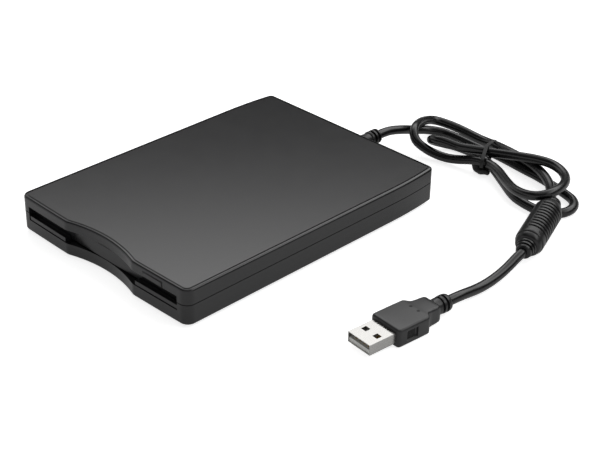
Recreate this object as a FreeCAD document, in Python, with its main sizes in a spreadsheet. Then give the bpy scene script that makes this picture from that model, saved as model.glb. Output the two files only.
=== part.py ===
"""External floppy disk drive: a slim casing with its drive mechanism, cord and plug.

Millimetres, +Z up. The origin is on the table, under the middle of the casing; the disk goes in
at -Y and the cord leaves at +Y. Every driving size is a cell of the sheet "Sizes".
"""
import FreeCAD, Part

import math
import os
import re

import Sketcher
from FreeCAD import Placement, Rotation, Vector

# ---------------------------------------------------------------- driving sizes

SIZES = {
    # casing
    "foot_height": 1.2, "foot_radius": 5.0, "foot_recess": 0.4, "foot_inset_x": 14.0,
    "foot_inset_y": 15.0,
    "floor_wall": 1.4, "lid_wall": 1.2, "wall": 1.5, "front_wall": 1.2,
    "side_gap": 0.8, "lid_gap": 0.4, "rear_bay": 12.5,
    "seam_height": 9.1, "seam_line": 0.35, "seam_depth": 0.3,
    "front_bow": 0.7, "front_corner": 4.0, "rear_corner": 2.6,
    "tail_length": 27.0, "tail_inset": 1.8,
    "scallop_half": 21.0, "scallop_depth": 3.6, "scallop_blend": 5.0,
    "edge_round": 1.0, "groove_inset": 1.0, "groove_width": 0.8, "groove_depth": 0.3,
    "boss_radius": 2.8, "boss_inset": 7.8, "screw_radius": 1.1, "screw_head_radius": 2.1,
    "screw_head_height": 1.3, "screw_sink": 0.3,
    # disk slot, its sill strips and its flap
    "disk_length": 94.0, "disk_proud": 0.2, "hub_setback": 44.4,
    "slot_width": 93.0, "slot_low": 7.45, "slot_height": 4.3, "sill_height": 5.45,
    "strip_setback": 0.3, "strip_gap": 0.1, "strip_lip": 0.3, "strip_start": 1.0,
    "door_thickness": 0.8, "door_gap": 0.5, "door_side_gap": 0.4, "door_pin_radius": 0.5,
    "door_pin_rise": 0.75, "door_pin_setback": 0.7, "door_ear_width": 2.1,
    "door_pin_length": 1.5, "door_margin": 1.35, "door_face_setback": 0.1,
    "door_relief": 0.2,
    "spring_wire": 0.17, "door_spring_coils": 7.0,
    # eject button
    "button_width": 11.0, "button_centre": 32.8, "button_height": 2.2, "button_depth": 4.6,
    "button_gap": 0.15, "button_round": 0.3, "tongue_width": 8.0, "tongue_grip": 2.0,
    "tongue_gap": 0.05,
    # drive chassis and disk carrier
    "standoff": 0.6, "sheet": 0.7, "rod_end_gap": 1.0, "carrier_play": 0.2,
    "carrier_sheet": 0.5, "play": 0.2, "slider_gap": 0.75, "slider_sheet": 0.5,
    "slider_flange": 0.4, "shield_sheet": 0.4, "shield_reach": 32.5, "shield_margin": 2.0,
    "rail_width": 3.9, "carrier_drop": 2.2, "eject_travel": 4.0, "pin_radius": 0.5,
    "pin_gap": 0.1, "pin_setback": 14.0, "pin_drop": 1.45,
    "notch_half": 18.0, "notch_depth": 30.4, "post_radius": 2.5, "latch_pivot_x": 30.0,
    "latch_setback": 16.4, "latch_reach": 16.0, "latch_boss": 1.5, "latch_width": 3.0,
    "tab_width": 2.5, "tab_height": 3.5,
    "eject_spring_radius": 0.45, "eject_spring_length": 18.0,
    # spindle motor
    "board_thickness": 0.8, "board_margin": 1.4, "rotor_radius": 20.0, "rotor_height": 1.3,
    "rotor_lift": 0.25, "rotor_skin": 0.4, "rotor_rim": 1.2, "stator_radius": 17.5,
    "stator_bore": 6.0, "stator_height": 0.6, "bearing_radius": 3.2, "shaft_radius": 1.45,
    "running_gap": 0.05, "hub_radius": 8.0, "hub_height": 0.35, "hub_pin_radius": 2.0,
    "hub_pin_height": 1.4, "drive_pin_radius": 0.75, "drive_pin_offset": 5.6,
    # head carriage, rod, screw and motor
    "track_zero": 39.5, "head_stroke": 14.8, "rod_tail": 4.0, "carriage_lift": 0.25,
    "carriage_height": 2.35, "carriage_left": 15.0, "carriage_right": 8.0,
    "lower_arm_half": 5.0, "lower_arm_lift": 0.75, "head_length": 4.0, "head_width": 4.0,
    "head_to_carriage": 2.5, "lower_head_height": 2.0, "rod_radius": 0.75, "rod_x": 12.0,
    "rod_rise": 1.4, "rod_start": 16.5, "rod_length": 51.0, "clip_length": 2.5,
    "pivot_rise": 6.0, "pivot_inset": 2.0, "pillar_half": 6.0, "pillar_length": 4.0,
    "pillar_cover": 0.9, "arm_pin_radius": 0.6, "arm_gap": 0.4, "ear_thickness": 0.9,
    "arm_sheet": 0.5, "arm_offset": 0.15, "arm_tip": 2.1, "arm_rise": 4.5075,
    "upper_head_drop": 1.6, "screw_x": 14.0, "screw_rise": 4.7, "screw_crest": 1.2,
    "screw_core": 1.0, "screw_pitch": 3.0, "thread_width": 1.4, "nut_radius": 2.2,
    "nut_length": 2.8, "nut_gap": 0.6, "bracket_sheet": 0.6, "can_radius": 4.3,
    "can_overhang": 0.8, "screw_end_gap": 0.6, "bearing_block": 1.6, "bearing_half": 2.0,
    # boards, sensors and wiring
    "plunger_radius": 0.8, "plunger_rise": 3.1, "plunger_length": 1.8, "plunger_travel": 1.2,
    "switch_size": 4.0, "switch_height": 1.6, "sensor_inset": 6.9, "sensor_y": 8.5,
    "disk_sensor_inset": 13.4, "chip_height": 1.0, "bridge_rise": 2.4, "bridge_width": 50.0,
    "bridge_depth": 9.0, "bridge_margin": 0.6, "bridge_gap": 1.4, "bridge_post": 1.8,
    "header_width": 8.0, "header_depth": 5.0, "header_height": 3.2, "wire_radius": 0.4,
    "wire_pitch": 1.0, "ribbon_width": 14.0, "ribbon_thickness": 0.15, "ribbon_inset": 1.0,
    # cord, ferrite and plug
    "cord_diameter": 4.2, "cord_exit_x": 4.4, "relief_radius": 3.6, "relief_tip_radius": 3.05,
    "relief_length": 14.1, "relief_flange_radius": 5.0, "relief_flange": 1.5,
    "relief_groove": 0.6, "relief_groove_width": 0.9, "inner_stub": 4.0,
    "hank_height": 11.0, "tie_width": 3.0, "tie_thickness": 0.8, "tie_gap": 0.3,
    "ferrite_radius": 5.6, "ferrite_length": 39.5, "ferrite_core_radius": 4.7,
    "ferrite_core_length": 22.0, "ferrite_collar_radius": 3.1, "ferrite_collar_length": 4.6,
    "ferrite_shoulder": 6.4, "ferrite_rib": 0.45, "ferrite_rib_width": 0.9,
    "ferrite_rib_pitch": 2.1, "ferrite_rib_start": 17.0, "ferrite_end_height": 4.77,
    "plug_body_width": 15.6, "plug_body_height": 7.8, "plug_body_length": 16.0,
    "plug_waist_width": 10.0, "plug_waist_length": 8.4, "plug_neck_radius": 3.5,
    "plug_neck_length": 8.1, "plug_neck_groove": 0.5, "plug_round": 0.8,
    "shell_width": 12.0, "shell_height": 4.5, "shell_length": 12.6, "shell_wall": 0.3,
    "shell_grip": 6.0, "window_width": 2.6, "window_length": 2.5, "window_offset": 3.1,
    "window_setback": 6.5, "tongue_thickness": 1.7, "contact_width": 1.0,
    "contact_thickness": 0.15, "contact_pitch": 2.3,
}

# The cord's route, chosen by hand where it isn't hanked: x, y, z of each point.
LEAD_ROUTE = [(4.4, 85.1, 10.3), (4.4, 89.6, 10.3), (3.3, 96.5, 8.6), (2.7, 105.5, 5.8)]
TAIL_ROUTE = [
    (108.39, 58.2, 4.81), (109.3, 54.4, 4.4), (109.7, 48.6, 3.7), (110.9, 42.0, 2.6),
    (111.1, 34.5, 2.2), (110.5, 27.5, 2.3), (110.2, 21.8, 3.2), (110.38, 16.23, 3.9),
    (109.81, 10.26, 3.9),
]
# The hank lies behind and beside the casing: two lobes of loops, tied at the waist.
HANK_LEFT = (14.5, 117.5, 17.5)
HANK_RIGHT = (77.0, 113.5, 23.5)
HANK_WAIST = (43.0, 119.0, 12.0)
# The ferrite leans on the hank and the plug lies on the table: where each one's axis starts,
# its turn about Z and its pitch.
FERRITE_END = (108.55, 57.73)
FERRITE_TURN = 19.1
FERRITE_PITCH = 4.35
PLUG_FACE = (106.8, -21.6)
# Where the sleeve ends, and how long the ferrite and the plug are, for the places above. Where
# one of these changes, what lies beyond it moves.
CHOSEN_EXIT = (4.4, 85.1)
CHOSEN_FERRITE = 39.5
CHOSEN_PLUG = 32.5
PLUG_TURN = -5.4

doc = FreeCAD.newDocument("FloppyDrive")
sheet = doc.addObject("Spreadsheet::Sheet", "Sizes")
for row, (alias, size) in enumerate(SIZES.items(), start=1):
    sheet.set(f"A{row}", alias)
    sheet.set(f"B{row}", str(size))
    sheet.setAlias(f"B{row}", alias)
doc.recompute()

ALIAS = re.compile(r"\b(" + "|".join(sorted(SIZES, key=len, reverse=True)) + r")\b")
NODES = []


def qualified(text):
    """The expression with each size written as a cell of the sheet."""
    return ALIAS.sub(r"Sizes.\1", str(text))


def value(text):
    """The number that an expression gives with the sheet as it stands."""
    return float(sheet.evalExpression(qualified(text)))


def bind(thing, path, text):
    thing.setExpression(path, qualified(text))


# ---------------------------------------------------------------- levels and places

CARRIER_WIDTH = "(slot_width - carrier_play)"
CASE_WIDTH = (
    f"(2 * ({CARRIER_WIDTH} / 2 + 2 * play + slider_flange + sheet + side_gap + tail_inset + wall))"
)
HEAD_RUN = "(scallop_depth + disk_length - disk_proud - hub_setback + track_zero)"
DOOR_REACH = "(slot_low - sill_height + slot_height + door_pin_rise - door_gap)"
CASE_DEPTH = f"({HEAD_RUN} - rod_start + rod_length + rod_end_gap + rear_bay + wall)"
FRONT = f"(-{CASE_DEPTH} / 2)"
BACK = f"({CASE_DEPTH} / 2)"
INNER_FRONT = f"({FRONT} + scallop_depth + front_wall)"
INNER_BACK = f"({BACK} - wall)"
CASE_FLOOR = "(foot_height + floor_wall)"
SEAM = "(foot_height + seam_height)"
SILL = "(foot_height + sill_height)"
SLOT_LOW = "(foot_height + slot_low)"
SLOT_HIGH = "(foot_height + slot_low + slot_height)"
SLIDER_Z = f"({SLOT_HIGH} + carrier_sheet + slider_gap)"
SHIELD_Z = f"({SLIDER_Z} + slider_sheet + play)"
CEILING = f"({SHIELD_Z} + shield_sheet + lid_gap)"
CASE_TOP = f"({CEILING} + lid_wall)"

PIVOT_Y = f"({INNER_FRONT} - door_pin_setback)"
PIVOT_Z = f"({SLOT_HIGH} + door_pin_rise)"
DOOR_FACE = f"({FRONT} + scallop_depth - door_face_setback)"

CHASSIS_FRONT = f"({PIVOT_Y} + {DOOR_REACH} + door_margin)"
CHASSIS_Z = f"({CASE_FLOOR} + standoff)"
DECK = f"({CHASSIS_Z} + sheet)"
CHASSIS_HALF = f"({CARRIER_WIDTH} / 2 + 2 * play + slider_flange + sheet)"
WALL_INSIDE = f"({CHASSIS_HALF} - sheet)"

DISK_BACK = f"({FRONT} + scallop_depth + disk_length - disk_proud)"
SPINDLE_Y = f"({DISK_BACK} - hub_setback)"
HEAD_Y = f"({FRONT} + {HEAD_RUN})"
CHASSIS_BACK = f"({HEAD_Y} - rod_start + rod_length + rod_end_gap)"
CHASSIS_DEPTH = f"({CHASSIS_BACK} - {CHASSIS_FRONT})"
CARRIER_FRONT = f"({CHASSIS_FRONT} - play)"
PIN_YS = [f"({CHASSIS_FRONT} + pin_setback)", f"({DISK_BACK} - pin_setback)"]
PIN_Z = f"({SLOT_HIGH} - pin_drop)"
BOARD_BACK = f"({SPINDLE_Y} + rotor_radius)"
BOARD_TOP = f"({DECK} + board_thickness)"
ROTOR_Z = f"({BOARD_TOP} + rotor_lift)"
HUB_Z = f"({ROTOR_Z} + rotor_height)"

CARRIAGE_FRONT = f"({HEAD_Y} + head_to_carriage)"
CARRIAGE_LENGTH = "(rod_length - rod_start - head_to_carriage - rod_tail)"
CARRIAGE_BACK = f"({CARRIAGE_FRONT} + {CARRIAGE_LENGTH})"
CARRIAGE_Z = f"({DECK} + carriage_lift)"
ROD_Z = f"({DECK} + rod_rise)"
ARM_PIVOT_Y = f"({CARRIAGE_BACK} - pivot_inset)"
ARM_PIVOT_Z = f"({DECK} + pivot_rise)"
SCREW_Z = f"({DECK} + screw_rise)"
SCREW_FRONT = f"({DISK_BACK} + screw_end_gap)"
NUT_FRONT = f"({SCREW_FRONT} + bearing_block + 2 * nut_gap + head_stroke)"
BRACKET_Y = f"({NUT_FRONT} + nut_length + nut_gap)"
CAN_LENGTH = f"({CHASSIS_BACK} + can_overhang - {BRACKET_Y} - bracket_sheet)"
CORD_RADIUS = "(cord_diameter / 2)"


# ---------------------------------------------------------------- building helpers

PLANES = {"Z": "XY_Plane", "Y": "XZ_Plane", "X": "YZ_Plane"}


def new_body(label):
    body = doc.addObject("PartDesign::Body", label)
    body.Label = label
    body.AllowCompound = True
    NODES.append(body)
    return body


def new_sketch(body, axis, at):
    """A sketch on the origin plane square to axis, moved to at = (u, v, w) in the plane's axes."""
    sketch = body.newObject("Sketcher::SketchObject", f"{body.Name}_Sketch")
    plane = next(f for f in body.Origin.OriginFeatures if f.Role == PLANES[axis])
    sketch.AttachmentSupport = [(plane, "")]
    sketch.MapMode = "FlatFace"
    for name, text in zip("xyz", at):
        bind(sketch, f"AttachmentOffset.Base.{name}", text)
    return sketch


def fix(sketch, kind, references, text):
    index = sketch.addConstraint(Sketcher.Constraint(kind, *references, value(text)))
    bind(sketch, f"Constraints[{index}]", text)


def draw_rectangle(sketch, width, height):
    """A rectangle centred on the sketch's origin."""
    half_u = value(width) / 2
    half_v = value(height) / 2
    corners = [Vector(u, v, 0) for u, v in
               ((-half_u, -half_v), (half_u, -half_v), (half_u, half_v), (-half_u, half_v))]
    for start, end in zip(corners, corners[1:] + corners[:1]):
        sketch.addGeometry(Part.LineSegment(start, end), False)
    for line in range(4):
        sketch.addConstraint(Sketcher.Constraint("Coincident", line, 2, (line + 1) % 4, 1))
        kind = "Horizontal" if line % 2 == 0 else "Vertical"
        sketch.addConstraint(Sketcher.Constraint(kind, line))
    sketch.addConstraint(Sketcher.Constraint("Symmetric", 0, 1, 2, 1, -1, 1))
    fix(sketch, "DistanceX", (0, 1, 0, 2), width)
    fix(sketch, "DistanceY", (1, 1, 1, 2), height)


def draw_circle(sketch, radius):
    sketch.addGeometry(Part.Circle(Vector(0, 0, 0), Vector(0, 0, 1), value(radius)), False)
    sketch.addConstraint(Sketcher.Constraint("Coincident", 0, 3, -1, 1))
    fix(sketch, "Radius", (0,), radius)


def arc_through(start, end, radius, outward):
    """The short arc from start to end. outward arcs bulge to the right of that direction."""
    chord = end - start
    middle = (start + end) / 2
    left = Vector(-chord.y, chord.x, 0).normalize()
    drop = math.sqrt(max(radius ** 2 - (chord.Length / 2) ** 2, 0))
    centre = middle + left * (drop if outward else -drop)
    first, last = (start, end) if outward else (end, start)
    angles = [math.atan2(p.y - centre.y, p.x - centre.x) for p in (first, last)]
    return Part.ArcOfCircle(Part.Circle(centre, Vector(0, 0, 1), radius), *angles)


def draw_outline(sketch, corners):
    """A closed outline, counter-clockwise. Each corner is (u, v, bend): bend is None where a
    straight edge starts, or (radius, outward) where an arc does."""
    places = [Vector(value(u), value(v), 0) for u, v, _ in corners]
    ends = []
    for index, (_, _, bend) in enumerate(corners):
        start = places[index]
        end = places[(index + 1) % len(places)]
        if bend is None:
            edge = sketch.addGeometry(Part.LineSegment(start, end), False)
            ends.append((edge, 1, 2))
        else:
            radius, outward = bend
            edge = sketch.addGeometry(arc_through(start, end, value(radius), outward), False)
            ends.append((edge, 1, 2) if outward else (edge, 2, 1))
    for index, (edge, _, last) in enumerate(ends):
        following, first, _ = ends[(index + 1) % len(ends)]
        sketch.addConstraint(Sketcher.Constraint("Coincident", edge, last, following, first))
    for (edge, first, _), (u, v, bend) in zip(ends, corners):
        fix(sketch, "DistanceX", (-1, 1, edge, first), u)
        fix(sketch, "DistanceY", (-1, 1, edge, first), v)
        if bend is not None:
            fix(sketch, "Radius", (edge,), bend[0])


def pad(body, sketch, length):
    feature = body.newObject("PartDesign::Pad", f"{body.Name}_Pad")
    feature.Profile = sketch
    bind(feature, "Length", length)
    sketch.Visibility = False
    return feature


def pocket(body, sketch, length):
    """Cuts from the sketch against its plane's normal."""
    feature = body.newObject("PartDesign::Pocket", f"{body.Name}_Pocket")
    feature.Profile = sketch
    bind(feature, "Length", length)
    sketch.Visibility = False
    return feature


def block(body, size, at):
    """A box of size (x, y, z), standing on z with its middle at x, y: at = (x, y, z)."""
    sketch = new_sketch(body, "Z", at)
    draw_rectangle(sketch, size[0], size[1])
    return pad(body, sketch, size[2])


def cut_block(body, size, at):
    """Cuts a box given as block gives one."""
    sketch = new_sketch(body, "Z", (at[0], at[1], f"{at[2]} + {size[2]}"))
    draw_rectangle(sketch, size[0], size[1])
    return pocket(body, sketch, size[2])


def rod(body, axis, radius, length, at):
    """A cylinder that starts at at = (x, y, z) and runs along +axis."""
    sketch = new_sketch(body, axis, plane_place(axis, at, length))
    draw_circle(sketch, radius)
    return pad(body, sketch, length)


def cut_rod(body, axis, radius, length, at):
    """Cuts a cylinder given as rod gives one."""
    x, y, z = at
    start = {"Z": (x, y, f"{z} + {length}"), "X": (y, z, f"{x} + {length}"),
             "Y": (x, z, f"-({y})")}[axis]
    sketch = new_sketch(body, axis, start)
    draw_circle(sketch, radius)
    return pocket(body, sketch, length)


def plane_place(axis, at, length):
    """at in the axes of the origin plane square to axis. The XZ plane faces -Y, so a pad that
    is to fill y..y + length starts at its far end."""
    x, y, z = at
    return {"Z": (x, y, z), "X": (y, z, x), "Y": (x, z, f"-({y} + {length})")}[axis]


def prism(body, axis, corners, length, at):
    """An outline padded along +axis from at."""
    sketch = new_sketch(body, axis, plane_place(axis, at, length))
    draw_outline(sketch, corners)
    return pad(body, sketch, length)


def cut_prism(body, corners, length, at):
    """Cuts an outline drawn in X and Y, from at's z up."""
    sketch = new_sketch(body, "Z", (at[0], at[1], f"{at[2]} + {length}"))
    draw_outline(sketch, corners)
    return pocket(body, sketch, length)


def turned(body, profile):
    """A solid of revolution about the body's Y axis: profile is (radius, y) going up the axis."""
    sketch = new_sketch(body, "Z", ("0", "0", "0"))
    draw_outline(sketch, straight([("0", profile[0][1]), *profile, ("0", profile[-1][1])]))
    feature = body.newObject("PartDesign::Revolution", f"{body.Name}_Turned")
    feature.Profile = sketch
    feature.ReferenceAxis = (sketch, ["V_Axis"])
    feature.Angle = 360
    sketch.Visibility = False
    return feature


def round_edges(body, radius, chosen):
    """Fillets the edges of the body's tip that chosen(edge) picks."""
    doc.recompute()
    base = body.Tip
    names = [f"Edge{n}" for n, edge in enumerate(base.Shape.Edges, start=1) if chosen(edge)]
    feature = body.newObject("PartDesign::Fillet", f"{body.Name}_Fillet")
    feature.Base = (base, names)
    bind(feature, "Radius", radius)
    return feature


def level_with(height):
    """Picks the edges that lie flat at height."""
    z = value(height)
    return lambda edge: all(abs(v.Z - z) < 1e-4 for v in edge.Vertexes) and edge.BoundBox.ZLength < 1e-4


def straight(points):
    """Corners of an outline with straight edges only."""
    return [(u, v, None) for u, v in points]


# ---------------------------------------------------------------- casing outline

HALF_WIDTH = f"({CASE_WIDTH} / 2)"
FRONT_R = f"(({HALF_WIDTH}^2 + front_bow^2) / (2 * front_bow))"
FRONT_C = f"({FRONT} + {FRONT_R})"
SCALLOP_R = "((scallop_half^2 + scallop_depth^2) / (2 * scallop_depth))"
SCALLOP_C = f"({FRONT} + scallop_depth - {SCALLOP_R})"
TAIL_R = "((tail_length^2 + tail_inset^2) / (2 * tail_inset))"
TAIL_X = f"({HALF_WIDTH} - {TAIL_R})"
TAIL_Y = f"({BACK} - tail_length)"


def case_outline(inset):
    """The casing seen from above, its faces moved in by inset: a bowed front with a scallop in
    its middle, round corners, and sides that curve in towards the back."""
    far = f"({FRONT_R} - scallop_blend)"
    near = f"({SCALLOP_R} + scallop_blend)"
    apart = f"({FRONT_C} - {SCALLOP_C})"
    rise = f"(({apart}^2 + {near}^2 - {far}^2) / (2 * {apart}))"
    blend_x = f"sqrt({near}^2 - {rise}^2)"
    scallop_part = f"(({SCALLOP_R} + {inset}) / {near})"
    front_part = f"(({FRONT_R} - {inset}) / {far})"
    corner_x = f"({HALF_WIDTH} - front_corner)"
    corner_dy = f"sqrt(({FRONT_R} - front_corner)^2 - {corner_x}^2)"
    corner_part = f"(({FRONT_R} - {inset}) / ({FRONT_R} - front_corner))"
    rear_y = f"({BACK} - rear_corner)"
    rear_dx = f"sqrt(({TAIL_R} - rear_corner)^2 - ({rear_y} - {TAIL_Y})^2)"
    tail_part = f"(({TAIL_R} - {inset}) / ({TAIL_R} - rear_corner))"
    right = [
        (f"{scallop_part} * {blend_x}", f"{SCALLOP_C} + {scallop_part} * {rise}",
         (f"scallop_blend - {inset}", True)),
        (f"{front_part} * {blend_x}", f"{FRONT_C} - {front_part} * ({apart} - {rise})",
         (f"{FRONT_R} - {inset}", True)),
        (f"{corner_part} * {corner_x}", f"{FRONT_C} - {corner_part} * {corner_dy}",
         (f"front_corner - {inset}", True)),
        (f"{HALF_WIDTH} - {inset}", f"{FRONT_C} - {corner_dy}", None),
        (f"{HALF_WIDTH} - {inset}", TAIL_Y, (f"{TAIL_R} - {inset}", True)),
        (f"{TAIL_X} + {tail_part} * {rear_dx}", f"{TAIL_Y} + {tail_part} * ({rear_y} - {TAIL_Y})",
         (f"rear_corner - {inset}", True)),
        (f"{TAIL_X} + {rear_dx}", f"{BACK} - {inset}", None),
    ]
    # going on down the left side, each edge's bend belongs to the corner where it now starts
    bends = [bend for _, _, bend in right]
    left = [(f"-({x})", y, bend) for (x, y, _), bend in zip(right[::-1], bends[-2::-1])]
    scallop = (f"-({right[0][0]})", right[0][1], (f"{SCALLOP_R} + {inset}", False))
    return right + left + [scallop]


def case_cavity():
    """The room inside the walls: square at the front, narrower where the sides curve in."""
    side = f"({HALF_WIDTH} - wall)"
    return straight([
        (f"-{side}", INNER_FRONT), (side, INNER_FRONT), (side, TAIL_Y),
        (f"{side} - tail_inset", INNER_BACK), (f"-({side} - tail_inset)", INNER_BACK),
        (f"-{side}", TAIL_Y),
    ])


def boss_places():
    return [(f"{side} * ({HALF_WIDTH} - boss_inset)", f"({BACK} - boss_inset)") for side in (-1, 1)]


def foot_places():
    return [
        (f"{side} * ({HALF_WIDTH} - foot_inset_x)", f"{end} * ({BACK} - foot_inset_y)")
        for side in (-1, 1) for end in (-1, 1)
    ]


def wall_middle():
    """Y of the middle of the front wall, and its thickness, both taken past its faces."""
    return f"({FRONT} + (scallop_depth + front_wall) / 2)", "(scallop_depth + front_wall + 2)"


# ---------------------------------------------------------------- casing pieces

def make_top_cover():
    body = new_body("top_cover")
    prism(body, "Z", case_outline("0"), f"{CASE_TOP} - {SEAM}", ("0", "0", SEAM))
    round_edges(body, "edge_round", level_with(CASE_TOP))
    # groove round the top, cut as a step and filled again inside it
    cut_prism(body, case_outline("groove_inset"), "groove_depth", ("0", "0", f"{CASE_TOP} - groove_depth"))
    prism(body, "Z", case_outline("(groove_inset + groove_width)"), "groove_depth",
          ("0", "0", f"{CASE_TOP} - groove_depth"))
    cut_prism(body, case_cavity(), f"{CEILING} - {SEAM}", ("0", "0", SEAM))
    y, depth = wall_middle()
    cut_block(body, ("slot_width", depth, f"{SLOT_HIGH} - {SEAM}"), ("0", y, SEAM))
    cut_block(body, ("button_width + 2 * button_gap", depth, "button_height + 2 * button_gap"),
              ("button_centre", y, SLOT_HIGH))
    cut_block(body, ("slot_width", "door_relief", "door_relief"),
              ("0", f"{INNER_FRONT} - door_relief / 2", SLOT_HIGH))
    ear_room = "(door_pin_setback + door_pin_radius + 0.7)"
    for side in (-1, 1):
        cut_block(body, ("door_ear_width + 3.2", ear_room, f"door_pin_rise + 1.1 + {SLOT_HIGH} - {SEAM}"),
                  (f"{side} * (slot_width / 2 - (door_ear_width + 3.2) / 2)",
                   f"{INNER_FRONT} - {ear_room} / 2", SEAM))
        start = "slot_width / 2 - 0.2" if side > 0 else "-(slot_width / 2 + door_pin_length + 0.2)"
        cut_rod(body, "X", "door_pin_radius + running_gap", "door_pin_length + 0.4",
                (start, PIVOT_Y, PIVOT_Z))
    for x, place_y in boss_places():
        rod(body, "Z", "boss_radius", f"{CEILING} - {SEAM}", (x, place_y, SEAM))
        cut_rod(body, "Z", "screw_radius + running_gap", f"{CEILING} - {SEAM} - 1", (x, place_y, SEAM))
    cut_rod(body, "Y", "relief_radius + running_gap", "wall + 1", ("cord_exit_x", f"{INNER_BACK} - 0.5", SEAM))


def make_bottom_cover():
    body = new_body("bottom_cover")
    prism(body, "Z", case_outline("0"), f"{SEAM} - foot_height", ("0", "0", "foot_height"))
    round_edges(body, "edge_round", level_with("foot_height"))
    # shadow line under the seam, cut as a step and filled again inside it
    cut_prism(body, case_outline("0"), "seam_line", ("0", "0", f"{SEAM} - seam_line"))
    prism(body, "Z", case_outline("seam_depth"), "seam_line", ("0", "0", f"{SEAM} - seam_line"))
    cut_prism(body, case_cavity(), f"{SEAM} - {CASE_FLOOR}", ("0", "0", CASE_FLOOR))
    y, depth = wall_middle()
    cut_block(body, ("slot_width", depth, f"{SEAM} - {SILL}"), ("0", y, SILL))
    for x, place_y in boss_places():
        rod(body, "Z", "boss_radius", f"{SEAM} - {CASE_FLOOR}", (x, place_y, CASE_FLOOR))
        cut_rod(body, "Z", "screw_radius + running_gap", f"{SEAM} - foot_height", (x, place_y, "foot_height"))
        cut_rod(body, "Z", "screw_head_radius + 0.2", "screw_sink + screw_head_height",
                (x, place_y, "foot_height"))
    for x, place_y in chassis_screw_places():
        rod(body, "Z", "post_radius", "standoff", (x, place_y, CASE_FLOOR))
        cut_rod(body, "Z", "screw_radius", "standoff + floor_wall / 2",
                (x, place_y, f"{CASE_FLOOR} - floor_wall / 2"))
    for x in bridge_screw_xs():
        rod(body, "Z", "bridge_post", "bridge_rise", (x, BRIDGE_Y, CASE_FLOOR))
        cut_rod(body, "Z", "screw_radius - 0.3", "bridge_rise", (x, BRIDGE_Y, CASE_FLOOR))
    for x, place_y in foot_places():
        cut_rod(body, "Z", "foot_radius + 0.1", "foot_recess", (x, place_y, "foot_height"))
    cut_rod(body, "Y", "relief_radius + running_gap", "wall + 1", ("cord_exit_x", f"{INNER_BACK} - 0.5", SEAM))


def make_sill_strips():
    """Two strips that rest on the sill, one each side of the scallop, in front of the flap."""
    body = new_body("sill_strips")
    near = "(scallop_half + strip_start)"
    far = "(slot_width / 2 - strip_gap)"
    back = f"({DOOR_FACE} - strip_setback)"

    def face(x):
        return f"({FRONT_C} - sqrt({FRONT_R}^2 - {x}^2) + strip_setback)"

    for side in (-1, 1):
        points = [(f"{side} * {near}", face(near)), (f"{side} * {far}", face(far)),
                  (f"{side} * {far}", back), (f"{side} * {near}", back)]
        lip = [(x, f"({y} + strip_lip)" if place < 2 else y) for place, (x, y) in enumerate(points)]
        order = slice(None) if side > 0 else slice(None, None, -1)
        prism(body, "Z", straight(lip[order]), "strip_lip", ("0", "0", SILL))
        prism(body, "Z", straight(points[order]), f"{SLOT_LOW} - {SILL} - strip_lip",
              ("0", "0", f"{SILL} + strip_lip"))


def make_slot_door():
    """The flap: a plate behind the slot with an ear and a pin at each end of its top."""
    body = new_body("slot_door")
    width = "(slot_width - 2 * door_side_gap)"
    bottom = f"({SILL} + door_gap)"
    top = f"({SLOT_HIGH} - 0.2)"
    block(body, (width, "door_thickness", f"{top} - {bottom}"),
          ("0", f"{DOOR_FACE} + door_thickness / 2", bottom))
    ear = "(door_thickness + 0.4)"
    for side in (-1, 1):
        block(body, ("door_ear_width", ear, f"{PIVOT_Z} + door_pin_radius - {top}"),
              (f"{side} * ({width} / 2 - door_ear_width / 2)", f"{DOOR_FACE} + {ear} / 2", top))
        start = f"{width} / 2" if side > 0 else f"-({width} / 2 + door_pin_length)"
        rod(body, "X", "door_pin_radius", "door_pin_length", (start, PIVOT_Y, PIVOT_Z))
    cut_block(body, ("3.4", "door_thickness", "0.4"),
              (f"-({width} / 2 - door_ear_width - 1.7)", f"{DOOR_FACE} + door_thickness / 2", f"{top} - 0.4"))
    rod(body, "X", "door_pin_radius", DOOR_SPIGOT,
        (f"-({width} / 2 - door_ear_width)", PIVOT_Y, PIVOT_Z))


DOOR_SPIGOT = "(2 * spring_wire * (door_spring_coils + 1))"


def make_door_spring():
    """Torsion spring round the flap's left spigot, drawn as its coils lying side by side."""
    body = new_body("door_spring")
    ring = "(door_pin_radius + 0.05 + spring_wire)"
    start = "(slot_width / 2 - door_side_gap - door_ear_width)"
    for coil in range(int(value("door_spring_coils"))):
        x = f"(-{start} + (0.5 + {coil}) * (2 * spring_wire + 0.02))"
        rod(body, "X", f"{ring} + spring_wire", "2 * spring_wire", (x, PIVOT_Y, PIVOT_Z))
        cut_rod(body, "X", f"{ring} - spring_wire", "2 * spring_wire + 0.02",
                (f"{x} - 0.01", PIVOT_Y, PIVOT_Z))


def make_eject_button():
    body = new_body("eject_button")
    z = f"({SLOT_HIGH} + button_gap)"
    y = f"({FRONT} + button_depth / 2)"
    block(body, ("button_width", "button_depth", "button_height"), ("button_centre", y, z))
    front = value(FRONT)
    round_edges(body, "button_round", lambda edge: all(abs(v.Y - front) < 1e-4 for v in edge.Vertexes))
    cut_block(body, ("tongue_width + 2 * tongue_gap", "tongue_grip", "slider_sheet"),
              ("button_centre", f"{FRONT} + button_depth - tongue_grip / 2", SLIDER_Z))


def make_rubber_feet():
    body = new_body("rubber_feet")
    for x, y in foot_places():
        rod(body, "Z", "foot_radius", "foot_height + foot_recess", (x, y, "0"))


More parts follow.
